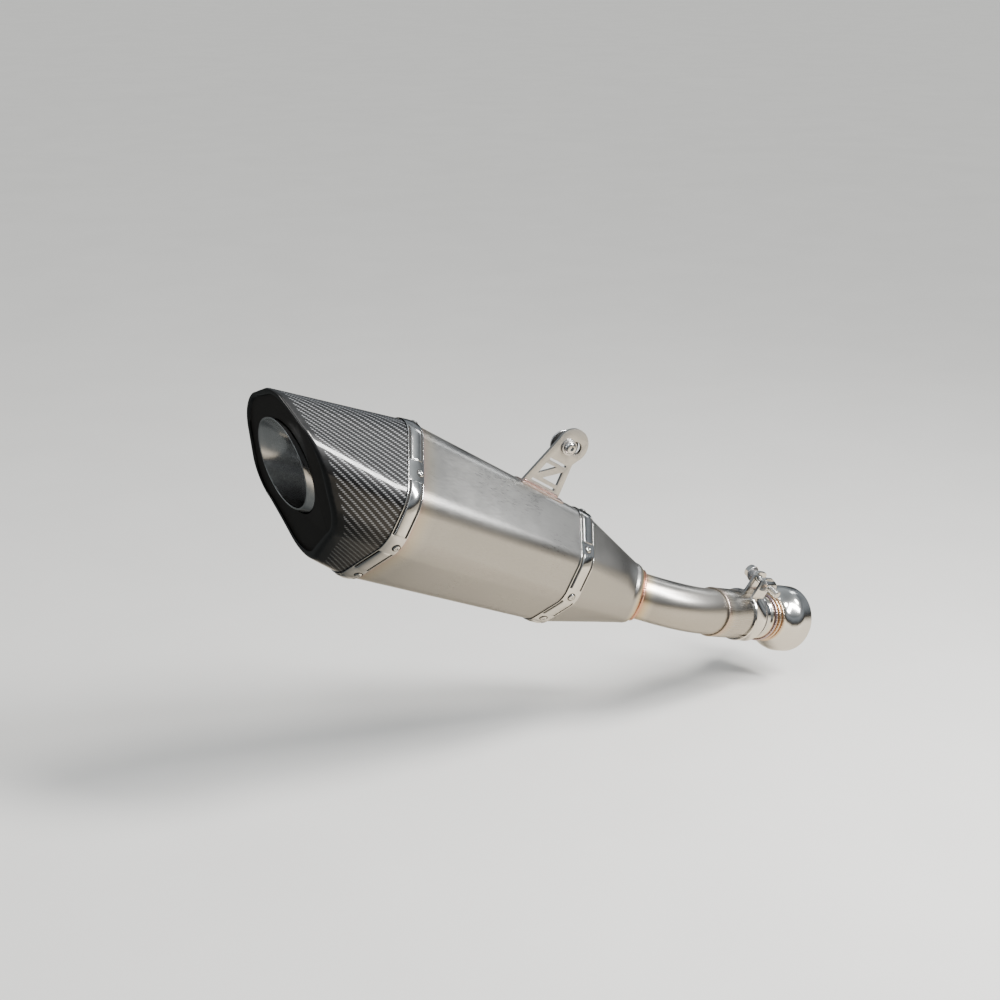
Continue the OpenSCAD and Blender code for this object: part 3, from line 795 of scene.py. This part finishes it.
def pop_rivet():
    """A domed rivet about X on a near-black ring of painted shade under its head, with the broken stem in its
    bore.
    """
    # The near-black ring round the head is painted shade under the rivet's flange.
    seal = turned("seal", [(-0.3, 2), (-0.3, 4.5), (0.12, 4.5), (0.2, 4.3), (0.2, 2), (-0.3, 2)], 32)
    seal.data.materials.append(painted_shade_finish)
    rings = [(-1.2, 1.5), (0.1, 1.5), (0.1, 3.4), (0.5, 3.5), (1.0, 3.1), (1.4, 2.4), (1.5, 1.8)]
    hollow = [(1.35, 1.45), (0.6, 1.35), (0.6, 1.0), (1.0, 0.85), (1.05, 0)]
    rivet = turned("rivet", rings + hollow, 32)
    rivet.data.materials.append(rivet_finish)
    return joined("rivet", [rivet, seal])


def rivets(name, s, seat, node_name):
    """One rivet on each pad of a strap, square to the strap's surface."""
    place_back = SILENCER.inverted()
    made = []
    for angle in rivet_angles:
        a = math.radians(angle)
        out = Vector((0, -math.sin(a), math.cos(a)))
        start = SILENCER @ (Vector((-s, 0, 0)) + out * 200)
        way = (SILENCER.to_3x3() @ -out).normalized()
        _, hit, normal, _ = seat.ray_cast(start, way)
        normal = (place_back.to_3x3() @ normal).normalized()
        rivet = pop_rivet()
        put(
            rivet,
            Matrix.Translation(place_back @ hit) @ normal.to_track_quat("X", "Z").to_matrix().to_4x4()
        )
        made.append(rivet)
    return finish_piece(joined(name, made), SILENCER, "silencer", "rivet_steel", None, node_name, angle=40)


# ---------------------------------------------------------------- end cap


def wrap_map(piece):
    """A map in metres: X along the silencer, Y round its section."""
    steps = 720
    half_w, half_h = half_sizes(rim_at - 40)
    angles = np.linspace(-math.pi, math.pi, steps + 1)
    radius = 1 / np.sqrt((np.sin(angles) / half_w) ** 2 + (np.cos(angles) / half_h) ** 2)
    points = np.stack([radius * np.sin(angles), radius * np.cos(angles)], 1)
    lengths = np.concatenate([[0], np.cumsum(np.linalg.norm(np.diff(points, axis=0), axis=1))])
    mesh = piece.data
    layer = mesh.uv_layers.new(name="wrap")
    for face in mesh.polygons:
        seam = face.center.z < 0 and abs(face.center.y) < 5
        for corner in face.loop_indices:
            point = mesh.vertices[mesh.loops[corner].vertex_index].co
            angle = math.atan2(-point.y, point.z)
            if seam and angle * math.atan2(-face.center.y, face.center.z) < 0:
                angle = math.copysign(math.pi, math.atan2(-face.center.y, face.center.z))
            layer.data[corner].uv = (point.x * MM, np.interp(angle, angles, lengths) * MM)


def end_cap_shell():
    """The slash-cut cap: its outside, its inside and a rounded lip between them."""
    outer = slashed(loft("cap", (rear_at, rear_at + 20, tip_at)), rim_at)
    inner = slashed(loft("cap_inner", (rear_at, rear_at + 20, tip_at), grow=-lip_wall), rim_at)
    at_rim = on_slash(rim_at)
    pick(outer, "EDGE", at_rim)
    bpy.ops.mesh.mark_seam()
    done()
    pick(inner, "EDGE", at_rim)
    bpy.ops.mesh.mark_sharp()
    done()
    cap = joined("cap", [outer, inner])
    for test in (at_rim, lambda a, b: all(abs(v.x + rear_at) < 0.01 for v in (a, b))):
        pick(cap, "EDGE", test)
        bpy.ops.mesh.bridge_edge_loops()
        done()
    outward(cap)
    for flag, width, segments in (("use_seam", 3.4, 6), ("use_edge_sharp", 0.9, 3)):
        edit(cap, "NONE", "EDGE")
        done()
        for edge in cap.data.edges:
            edge.select = getattr(edge, flag)
        bpy.ops.object.mode_set(mode="EDIT")
        bpy.ops.mesh.bevel(offset=width, segments=segments, affect="EDGES", clamp_overlap=False)
        bpy.ops.mesh.select_all(action="SELECT")
        done()
    edit(cap, "ALL", "EDGE")
    bpy.ops.mesh.mark_sharp(clear=True)
    bpy.ops.mesh.mark_seam(clear=True)
    done()
    wrap_map(cap)
    return finish_piece(cap, SILENCER, "silencer", "carbon_twill", carbon_finish, "end_cap_shell")


def end_cap_face():
    face = loft("face", (rear_at + 20, tip_at), grow=-lip_wall - 0.1, cuts=1)
    slashed(face, rim_at - face_recess)
    slashed(face, rim_at - face_recess - 2.5, keep_front=False)
    for s in (rim_at - face_recess, rim_at - face_recess - 2.5):
        pick(face, "EDGE", on_slash(s))
        bpy.ops.mesh.edge_face_add()
        done()
    outward(face)
    cut(face, turned("drill", [(-tip_at, outlet_r + 1.2), (-rear_at + 20, outlet_r + 1.2)], 128))
    rounded(face, 0.6, 3, 40)
    return finish_piece(face, SILENCER, "silencer", "face_insert", face_finish, "end_cap_face")


def outlet_tube():
    inner = outlet_r - outlet_wall
    tube = turned(
        "outlet",
        [
            (-tip_at, outlet_r), (-rear_at - 2, outlet_r), (-rear_at - 2, 30.05), (-rear_at - 6, 30.05),
            (-rear_at - 6, inner), (-tip_at, inner), (-tip_at, outlet_r)
        ],
        160
    )
    slashed(tube, rim_at + outlet_proud)
    pick(tube, "EDGE", on_slash(rim_at + outlet_proud))
    bpy.ops.mesh.bridge_edge_loops()
    done()
    outward(tube)
    rounded(tube, 0.55, 3, 40)
    return finish_piece(tube, SILENCER, "silencer", "polished_outlet", outlet_finish, "outlet_tube")


# ---------------------------------------------------------------- pipes and welds


def weld_bead(name, x, ring_r, bead_r, ripples):
    """A ring of weld with a ripple every few millimetres."""
    deselect()
    bpy.ops.mesh.primitive_torus_add(
        major_radius=ring_r, minor_radius=bead_r, major_segments=ripples * 4, minor_segments=16,
        location=(x, 0, 0), rotation=along_x
    )
    bead = begin(name)
    step = 2 * math.pi / ripples

    def in_crest(v):
        return (math.atan2(v.z, v.y) / step + 0.25) % 1 < 0.5

    pick(bead, "VERT", in_crest)
    bpy.ops.transform.shrink_fatten(value=bead_r * 0.1)
    done()
    return modifier(bead, "SUBSURF", levels=1, render_levels=1)


def link_pipe():
    """The pipe from inside the cone, round the bend and into the socket, in the shared frame."""
    bend_axis = weld_dir.cross(joint_dir).normalized()
    bend_angle = weld_dir.angle(joint_dir)
    socket_rear = -joint_dir * socket_at * MM
    bend_front = socket_rear - joint_dir * 8 * MM
    bend_centre = bend_front + bend_axis.cross(joint_dir) * bend_r * MM
    deselect()
    bpy.ops.mesh.primitive_circle_add(vertices=96, radius=pipe_r, location=(-10, 0, 0), rotation=along_x)
    pipe = put(begin("pipe"), PIPE_END)
    edit(pipe, "ALL")
    for _ in range(4):
        bpy.ops.mesh.extrude_region_move(TRANSFORM_OT_translate={"value": weld_dir * 30 / 4 * MM})
    bpy.ops.mesh.spin(steps=28, angle=-bend_angle, center=bend_centre, axis=bend_axis)
    for _ in range(3):
        bpy.ops.mesh.extrude_region_move(TRANSFORM_OT_translate={"value": joint_dir * 22 / 3 * MM})
    bpy.ops.mesh.select_all(action="SELECT")
    bpy.ops.mesh.remove_doubles(threshold=0.00001)
    bpy.ops.mesh.normals_make_consistent(inside=False)
    done()
    modifier(pipe, "SOLIDIFY", thickness=pipe_wall * MM, offset=-1)
    return finish_piece(pipe, Matrix.Identity(4), "silencer", "brushed_pipe", pipe_finish, "link_pipe")


def pipe_socket():
    mouth = socket_len - socket_at
    socket = turned(
        "socket",
        [
            (-socket_at, pipe_r + 0.02), (-socket_at, socket_r), (mouth, socket_r), (mouth, socket_bore),
            (-socket_at + 16, socket_bore), (-socket_at + 14, pipe_r + 0.02), (-socket_at, pipe_r + 0.02)
        ],
        144
    )
    for turn in (45, 135, 225, 315):
        saw = block("saw", (30, 3, 12), (mouth - 10, 0, socket_bore))
        cut(saw, cylinder("drill", 32, 2.2, 12, (mouth - 25, 0, socket_bore)), "UNION")
        cut(socket, put(saw, turned_by(turn, "X")))
    rounded(socket, 0.35, 2, 40)
    return finish_piece(socket, JOINT, "silencer", "brushed_socket", socket_finish, "pipe_socket")


def joint_seal():
    mouth = socket_len - socket_at
    seal = turned(
        "seal",
        [
            (mouth - 38, spigot_r + 0.05), (mouth - 38, socket_bore - 0.05),
            (mouth + 0.3, socket_bore - 0.05), (mouth + 0.3, socket_bore + 1), (mouth + 3, socket_bore + 1),
            (mouth + 3, spigot_r + 0.05), (mouth - 38, spigot_r + 0.05)
        ],
        128
    )
    rounded(seal, 0.4, 2, 40)
    return finish_piece(seal, JOINT, "seal", "graphite_seal", graphite_finish, "joint_seal")


def header_stub():
    rear = socket_len - socket_at - 42
    inner = spigot_r - stub_wall
    flare = [
        (-38, spigot_r + 2), (-33, spigot_r + 3.4), (-28, spigot_r + 7.2), (-23, mouth_r - 3),
        (-19, mouth_r - 1), (-15, mouth_r - 0.1)
    ]
    lip = [(-1.2, mouth_r - 0.1), (-0.3, mouth_r), (0, mouth_r - 0.5), (-0.2, mouth_r - stub_wall)]
    inside = [(x - 0.4, r - stub_wall) for x, r in reversed(flare[1:])]
    stub = turned(
        "stub",
        [
            (rear, inner), (rear, spigot_r), (-62, spigot_r), (-60, spigot_r + 2), *flare, *lip, *inside,
            (-40, spigot_r + 0.5), (-60, inner), (rear, inner)
        ],
        144
    )
    rounded(stub, 0.4, 2, 40)
    return finish_piece(stub, JOINT, "stub", "polished_stub", stub_finish, "header_stub")


def stub_rings():
    beads = [weld_bead("bead", -55 + 7 * step, spigot_r + 2.6, 1.7, 64) for step in range(3)]
    return finish_piece(joined("rings", beads), JOINT, "stub", "tinted_rings", rings_finish, "stub_rings")


# ---------------------------------------------------------------- clamp


def clamp_band():
    """A pressed band with a bead along each edge, its two ends turned up as ears."""
    band_r, band_t, half = socket_r + 0.05, 1.5, 10
    top = clamp_bolt_z + 8
    ring = turned(
        "band",
        [
            (-half, band_r), (-half, band_r + band_t), (-half + 1.2, band_r + band_t + 0.7),
            (-half + 2.6, band_r + band_t + 0.5), (-half + 3.6, band_r + band_t),
            (half - 3.6, band_r + band_t), (half - 2.6, band_r + band_t + 0.5),
            (half - 1.2, band_r + band_t + 0.7), (half, band_r + band_t), (half, band_r), (-half, band_r)
        ],
        144
    )
    for side in (-1, 1):
        middle = (0, side * (ear_gap / 2 + ear_t / 2), (top + band_r) / 2)
        ear = block("ear", (2 * half, ear_t, top - band_r), middle)
        pick(ear, "EDGE", lambda a, b: a.z > top - 0.1 and b.z > top - 0.1 and abs(a.x - b.x) < 0.1)
        bpy.ops.mesh.bevel(offset=5, segments=6, affect="EDGES")
        done()
        cut(ring, ear, "UNION")
    cut(ring, block("gap", (4 * half, ear_gap, 60), (0, 0, 40)))
    cut(ring, cylinder("drill", 48, 4.5, 60, (0, 0, clamp_bolt_z), along_y))
    cut(ring, cylinder("bore", 144, band_r, 60, rotation=along_x))
    rounded(ring, 0.35, 2, 35)
    return finish_piece(ring, CLAMP, "clamp", "polished_band", band_finish, "clamp_band")


def trunnion(name, side):
    """A round bar across an ear, flat against it and drilled for the bolt."""
    bar = turned(name, [(-9, trunnion_r), (9, trunnion_r)], 64)
    put(bar, moved(0, side * (ear_face + trunnion_off), clamp_bolt_z))
    cut(bar, block("flat", (40, 20, 40), (0, side * (ear_face - 10), clamp_bolt_z)))
    cut(bar, cylinder("drill", 48, 4.06, 60, (0, 0, clamp_bolt_z), along_y))
    return rounded(bar, 0.5, 3, 40)


def thread(start, end, radius, pitch):
    """Rings of a thread from start to end."""
    count = int(abs(end - start) / pitch)
    way = pitch if end > start else -pitch
    rings = []
    for i in range(count):
        x = start + way * i
        rings += [(x, radius - 0.6), (x + way * 0.38, radius), (x + way * 0.62, radius)]
    return rings + [(start + way * count, radius - 0.6)]


def clamp_bolt():
    """A hexagon bolt about X: its head beyond the washer and its thread through the barrel nut."""
    seat = ear_face + trunnion_off + trunnion_r + clamp_washer_t + 0.06
    shank = turned("clamp_bolt", [*thread(-27, -6, 4, 1.25), (-5, 4), (seat + 1, 4)], 48)
    head = cylinder("head", 6, 7.5, 5.5, (seat + 2.75, 0, 0), along_x)
    cut(
        head, turned("chamfer", [(seat, 6.9), (seat + 0.5, 7.5), (seat + 4.6, 7.5), (seat + 5.5, 6.3)], 64),
        "INTERSECT"
    )
    cut(head, turned("dish", [(seat + 4.7, 3.6), (seat + 6, 4.2)], 48))
    rounded(head, 0.2, 2, 30)
    return finish_piece(
        joined("clamp_bolt", [shank, head]), CLAMP_BOLT, "clamp_screw", "bolt_steel", clamp_bolt_finish,
        "clamp_bolt"
    )


def washer(name, r, bore, x0, x1, vertices=72, edge=0.3):
    return rounded(
        turned(name, [(x0, bore), (x0, r), (x1, r), (x1, bore), (x0, bore)], vertices), edge, 3, 40
    )


# ---------------------------------------------------------------- hanger


def hanger_bolt():
    """A button-head bolt about X, with a hexagon socket, and its thread in the far end."""
    seat = -plate_t / 2 - 0.3 - 0.1 - 1.6
    head_r, head_h = 6.6, 4.6
    crown = [
        (
            seat - head_h + (1 - math.cos(math.radians(a))) * (head_h - 0.9),
            3.2 + (head_r - 3.2) * math.sin(math.radians(a))
        )
        for a in range(0, 91, 15)
    ]
    bolt = turned(
        "hanger_bolt",
        [
            *crown, (seat - 0.25, head_r), (seat - 0.05, head_r - 0.2), (seat - 0.05, 4), (13, 4),
            *thread(13.2, 28.6, 3.9, 1.25), (30, 2.9)
        ],
        72
    )
    cut(bolt, cylinder("socket", 6, 2.75, 5, (seat - head_h, 0, 0), along_x))
    return finish_piece(bolt, HANGER, "hanger_screw", "bolt_steel", bolt_finish, "hanger_bolt")


def rubber_bush():
    start, end, r, collar_r = plate_t / 2 + 0.3, 9.5, 13.5, 6.4
    middle = (start + end) / 2
    rings = [
        (start, collar_r + 0.02), (start, r - 0.6), (start + 0.6, r), (middle - 1.7, r),
        *ring_arc(middle, r + 0.3, 1.7, 180, 360, 8), (middle + 1.7, r), (end - 0.6, r), (end, r - 0.6),
        (end, collar_r + 0.02), (start, collar_r + 0.02)
    ]
    bush = rounded(turned("bush", rings, 96), 0.2, 2, 40)
    return finish_piece(bush, HANGER, "hanger_bush", "bush_rubber", rubber_finish, "rubber_bush")


def cup_washer():
    """A dished washer whose rim is rolled towards the rubber."""
    start, end, r, bore = 9.52, 11.9, 15, 4.05
    rings = [
        (start, bore), (start, r - 2.2), (start, r - 0.5), (start + 0.5, r), (end - 0.9, r),
        (end - 0.2, r - 0.5), (end, r - 1.3), (end - 0.5, r - 2.6), (end - 0.7, bore + 3),
        (end, bore + 2.2), (end, bore), (start, bore)
    ]
    cup = rounded(turned("cup", rings, 96), 0.15, 2, 40)
    return finish_piece(cup, HANGER, "hanger_bush", "zinc_steel", zinc_finish, "cup_washer")


def from_cad(name, node_name, bevel, angle=30):
    """A copy of a CAD node with its triangles merged into clean faces and its edges rounded, in metres."""
    source = frame["nodes"][node_name]
    deselect()
    piece = source.copy()
    piece.data = source.data.copy()
    piece.parent = None
    for key in list(piece.keys()):
        if key.startswith("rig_"):
            del piece[key]
    bpy.context.scene.collection.objects.link(piece)
    piece.name = piece.data.name = name
    edit(piece, "ALL")
    bpy.ops.mesh.remove_doubles(threshold=0.00001)
    bpy.ops.mesh.dissolve_limited(angle_limit=math.radians(0.5))
    done()
    if bevel:
        rounded(piece, bevel * MM, 3, angle)
    return piece


def hanger_plate():
    plate = from_cad("hanger_plate", "hanger_bracket", 0.55)
    return finish_piece(
        plate, Matrix.Identity(4), "silencer", "satin_plate", plate_finish, "hanger_bracket"
    )


def plate_foot():
    """A strip of the sleeve's own form under the plate, rounded along its edges."""
    margin, half_w = 4, 9
    foot = loft("plate_foot", (plate_at - plate_len - margin, plate_at + margin), grow=foot_t, cuts=12)
    edit(foot, "ALL")
    for normal in ((0, 1, 0), (0, -1, 0)):
        bpy.ops.mesh.select_all(action="SELECT")
        bpy.ops.mesh.bisect(plane_co=(0, normal[1] * half_w, 0), plane_no=normal, clear_outer=True)
    bpy.ops.mesh.select_all(action="SELECT")
    bpy.ops.mesh.bisect(plane_co=(0, 0, 0), plane_no=(0, 0, 1), clear_inner=True)
    done()
    outward(foot)
    modifier(foot, "SOLIDIFY", thickness=foot_t - 0.02, offset=-1)
    rounded(foot, 0.5, 3, 40)
    return finish_piece(foot, SILENCER, "silencer", "tinted_foot", foot_finish, "bracket_foot")


def plate_weld():
    """A rippled fillet along each side of the plate's foot."""
    made = []
    for side in (-1, 1):
        rings = [(1, 0.6)]
        ripple = 1.3
        for i in range(int((plate_len - 3) / ripple)):
            rings += [(1.4 + ripple * i, 1.75), (1.4 + ripple * (i + 0.5), 2.05)]
        rings.append((plate_len - 1, 0.6))
        made.append(put(turned("fillet", rings, 24), moved(0, 0, side * (plate_t / 2 + 0.2))))
    return finish_piece(
        joined("plate_weld", made), PLATE, "silencer", "weld_bead", bracket_weld_finish, "bracket_weld",
        angle=60
    )


# ---------------------------------------------------------------- assembly

outer_sleeve()
inlet_cone()
rear_band = strap(
    "rear_band", rear_at, [rear_at + step for step in (-9, -8, -5.9, 0, 5.9, 8, 9)], "rear_strap"
)
front_band = strap(
    "front_band", front_at, [front_at + step for step in (-9, -8, -5.9, 5.9, 8, 9)], "front_strap"
)
rivets("rear_rivets", rear_at - 4.5, rear_band, "rear_strap_rivets")
rivets("front_rivets", front_at, front_band, "front_strap_rivets")
end_cap_shell()
end_cap_face()
outlet_tube()
link_pipe()
finish_piece(
    weld_bead("cone_bead", 0.8, pipe_r + 1.2, 1.9, 72), PIPE_END, "silencer", "weld_bead", weld_finish,
    "cone_weld"
)
pipe_socket()
finish_piece(
    weld_bead("socket_bead", -socket_at - 0.3, pipe_r + 1.0, 1.2, 90), JOINT, "silencer", "weld_bead",
    socket_weld_finish, "socket_weld"
)
hanger_plate()
plate_foot()
plate_weld()
finish_piece(
    washer("collar", 6.4, 4.05, -plate_t / 2 - 0.3, 9.5), HANGER, "hanger_bush", "zinc_steel", zinc_finish,
    "bush_collar"
)
rubber_bush()
cup_washer()
hanger_bolt()
finish_piece(
    washer("bolt_washer", 8.4, 4.05, -plate_t / 2 - 2.0, -plate_t / 2 - 0.4), HANGER, "hanger_screw",
    "zinc_steel", zinc_finish, "hanger_washer"
)
clamp_band()
finish_piece(trunnion("spacer", 1), CLAMP, "clamp", "zinc_steel", clamp_zinc_finish, "clamp_spacer")
finish_piece(
    trunnion("barrel_nut", -1), CLAMP, "clamp_nut", "bolt_steel", clamp_bolt_finish, "clamp_barrel_nut"
)
washer_seat = ear_face + trunnion_off + trunnion_r + 0.03
finish_piece(
    washer("clamp_bolt_washer", 8, 4.05, washer_seat, washer_seat + clamp_washer_t), CLAMP_BOLT,
    "clamp_screw", "zinc_steel", clamp_zinc_finish, "clamp_washer"
)
clamp_bolt()
joint_seal()
header_stub()
stub_rings()

inner_finishes = {
    "front_baffle": inner_finish, "rear_baffle": inner_finish, "perforated_core": inner_finish,
    "steel_wool_wrap": wool_finish, "acoustic_packing": packing_finish
}
for name, material in inner_finishes.items():
    inner = frame["nodes"][name]
    inner.data.materials.clear()
    inner.data.materials.append(material)

# ---------------------------------------------------------------- floor, light and camera


def add_floor():
    """A plain pale floor where it is seen; in what it lights and reflects it is a little warmer, a painted warm
    bounce and reflection, and near-black inboard and behind, a painted dark reflection.
    """
    deselect()
    bpy.ops.mesh.primitive_plane_add(size=80, location=(0, 0, cad_low.z - 0.03))
    floor = begin("floor")
    material, tree, principled = start_material("floor_pale", Roughness=0.8)
    point = node(tree, "TexCoord").outputs["Object"]
    mottle = noise(tree, point, 6.0, 5.0)
    pale = tones(tree, mottle, (0.79, 0.785, 0.77), (0.82, 0.815, 0.8))
    painted_reflected_color = tones(tree, mottle, (0.6, 0.52, 0.41), (0.66, 0.58, 0.47))
    place = node(tree, "SeparateXYZ", {0: point}).outputs
    # Painted dark reflection: inboard and behind, what the floor lights and reflects turns near-black.
    inboard = spread(tree, place[1], 0.15, 0.8)
    behind = spread(tree, place[0], -0.46, -0.62)
    painted_dark_reflection_mask = math_node(tree, "MAXIMUM", inboard, behind)
    painted_reflected_color = mix_colors(tree, painted_dark_reflection_mask, painted_reflected_color, (0.05, 0.055, 0.055, 1))
    # Camera rays see the pale floor; all other rays see the painted warm and dark reflected colours.
    seen = node(tree, "LightPath").outputs["Is Camera Ray"]
    tree.links.new(mix_colors(tree, seen, painted_reflected_color, pale), principled.inputs["Base Color"])
    floor.data.materials.append(material)


def linked(name, data):
    """A new object for the data, in the scene."""
    made = bpy.data.objects.new(name, data)
    bpy.context.scene.collection.objects.link(made)
    return made


def add_light(name, way, distance, aim, size, watts, color):
    """A rectangular soft box in a direction from what it lights."""
    place = Vector(aim) + Vector(way).normalized() * distance
    light = bpy.data.lights.new(name, "AREA")
    light.shape = "RECTANGLE"
    light.size, light.size_y = size
    light.energy = watts
    light.color = color
    lamp = linked(name, light)
    lamp.location = place
    lamp.rotation_euler = (Vector(aim) - place).to_track_quat("-Z", "Y").to_euler()


def add_sun():
    sun = bpy.data.lights.new("sun", "SUN")
    sun.angle = math.radians(14)
    sun.energy = 2.2
    sun.color = (1.0, 0.97, 0.92)
    lamp = linked("sun", sun)
    lamp.rotation_euler = Vector((-0.55, 0.3, -0.9)).to_track_quat("-Z", "Y").to_euler()


def add_world():
    """A soft studio: dark at the level of the object, cool and pale above, dimmer overhead."""
    world = bpy.data.worlds.new("studio")
    bpy.context.scene.world = world
    world.use_nodes = True
    tree = world.node_tree
    height = node(tree, "SeparateXYZ", {0: node(tree, "TexCoord").outputs["Generated"]}).outputs[2]
    sky = ramp(
        tree, height,
        [
            (0.0, (0.02, 0.02, 0.02)), (0.08, (0.03, 0.03, 0.032)), (0.2, (0.22, 0.24, 0.26)),
            (0.34, (0.4, 0.43, 0.46)), (0.42, (0.17, 0.18, 0.19)), (0.7, (0.66, 0.71, 0.74)),
            (1.0, (0.35, 0.37, 0.38))
        ]
    )
    background = tree.nodes["Background"]
    tree.links.new(sky, background.inputs["Color"])
    background.inputs["Strength"].default_value = 0.8


def add_camera():
    """The camera looks down 20 degrees and 26 degrees from square on, past the silencer's outboard side."""
    azimuth, elevation, distance = math.radians(-26), math.radians(20), 1.7848
    aim_left, aim_up = 0.1465, 0.1025
    back = Vector(
        (
            math.sin(azimuth) * math.cos(elevation), -math.cos(azimuth) * math.cos(elevation),
            math.sin(elevation)
        )
    )
    camera_data = bpy.data.cameras.new("camera")
    camera_data.lens = 59.4
    camera = linked("camera", camera_data)
    right = Vector((math.cos(azimuth), math.sin(azimuth), 0))
    up = back.cross(right)
    aim = weld_point - right * aim_left + up * aim_up
    camera.location = aim + back * distance
    camera.rotation_euler = (-back).to_track_quat("-Z", "Y").to_euler()
    bpy.context.scene.camera = camera


add_floor()
middle = (cad_low + cad_high) / 2
cap_corner = SILENCER @ Vector((-390, -62, 32))
flank = SILENCER @ Vector((-230, -30, 60))
add_light("corner_box", (0.68, -0.47, 0.56), 1.3, cap_corner, (0.24, 0.8), 32, (1.0, 0.99, 0.97))
add_light("flank_strip", (0.87, 0.375, 0.42), 1.6, flank, (0.14, 0.7), 1.5, (0.97, 0.99, 1.0))
add_light("overhead", (-0.3, -0.25, 1.0), 2.0, middle, (0.7, 1.4), 8, (1.0, 0.99, 0.97))
add_light("rear", (-1.9, 0.2, 0.7), 1.8, middle, (0.4, 0.9), 5, (1.0, 0.98, 0.95))
add_sun()
add_world()
add_camera()
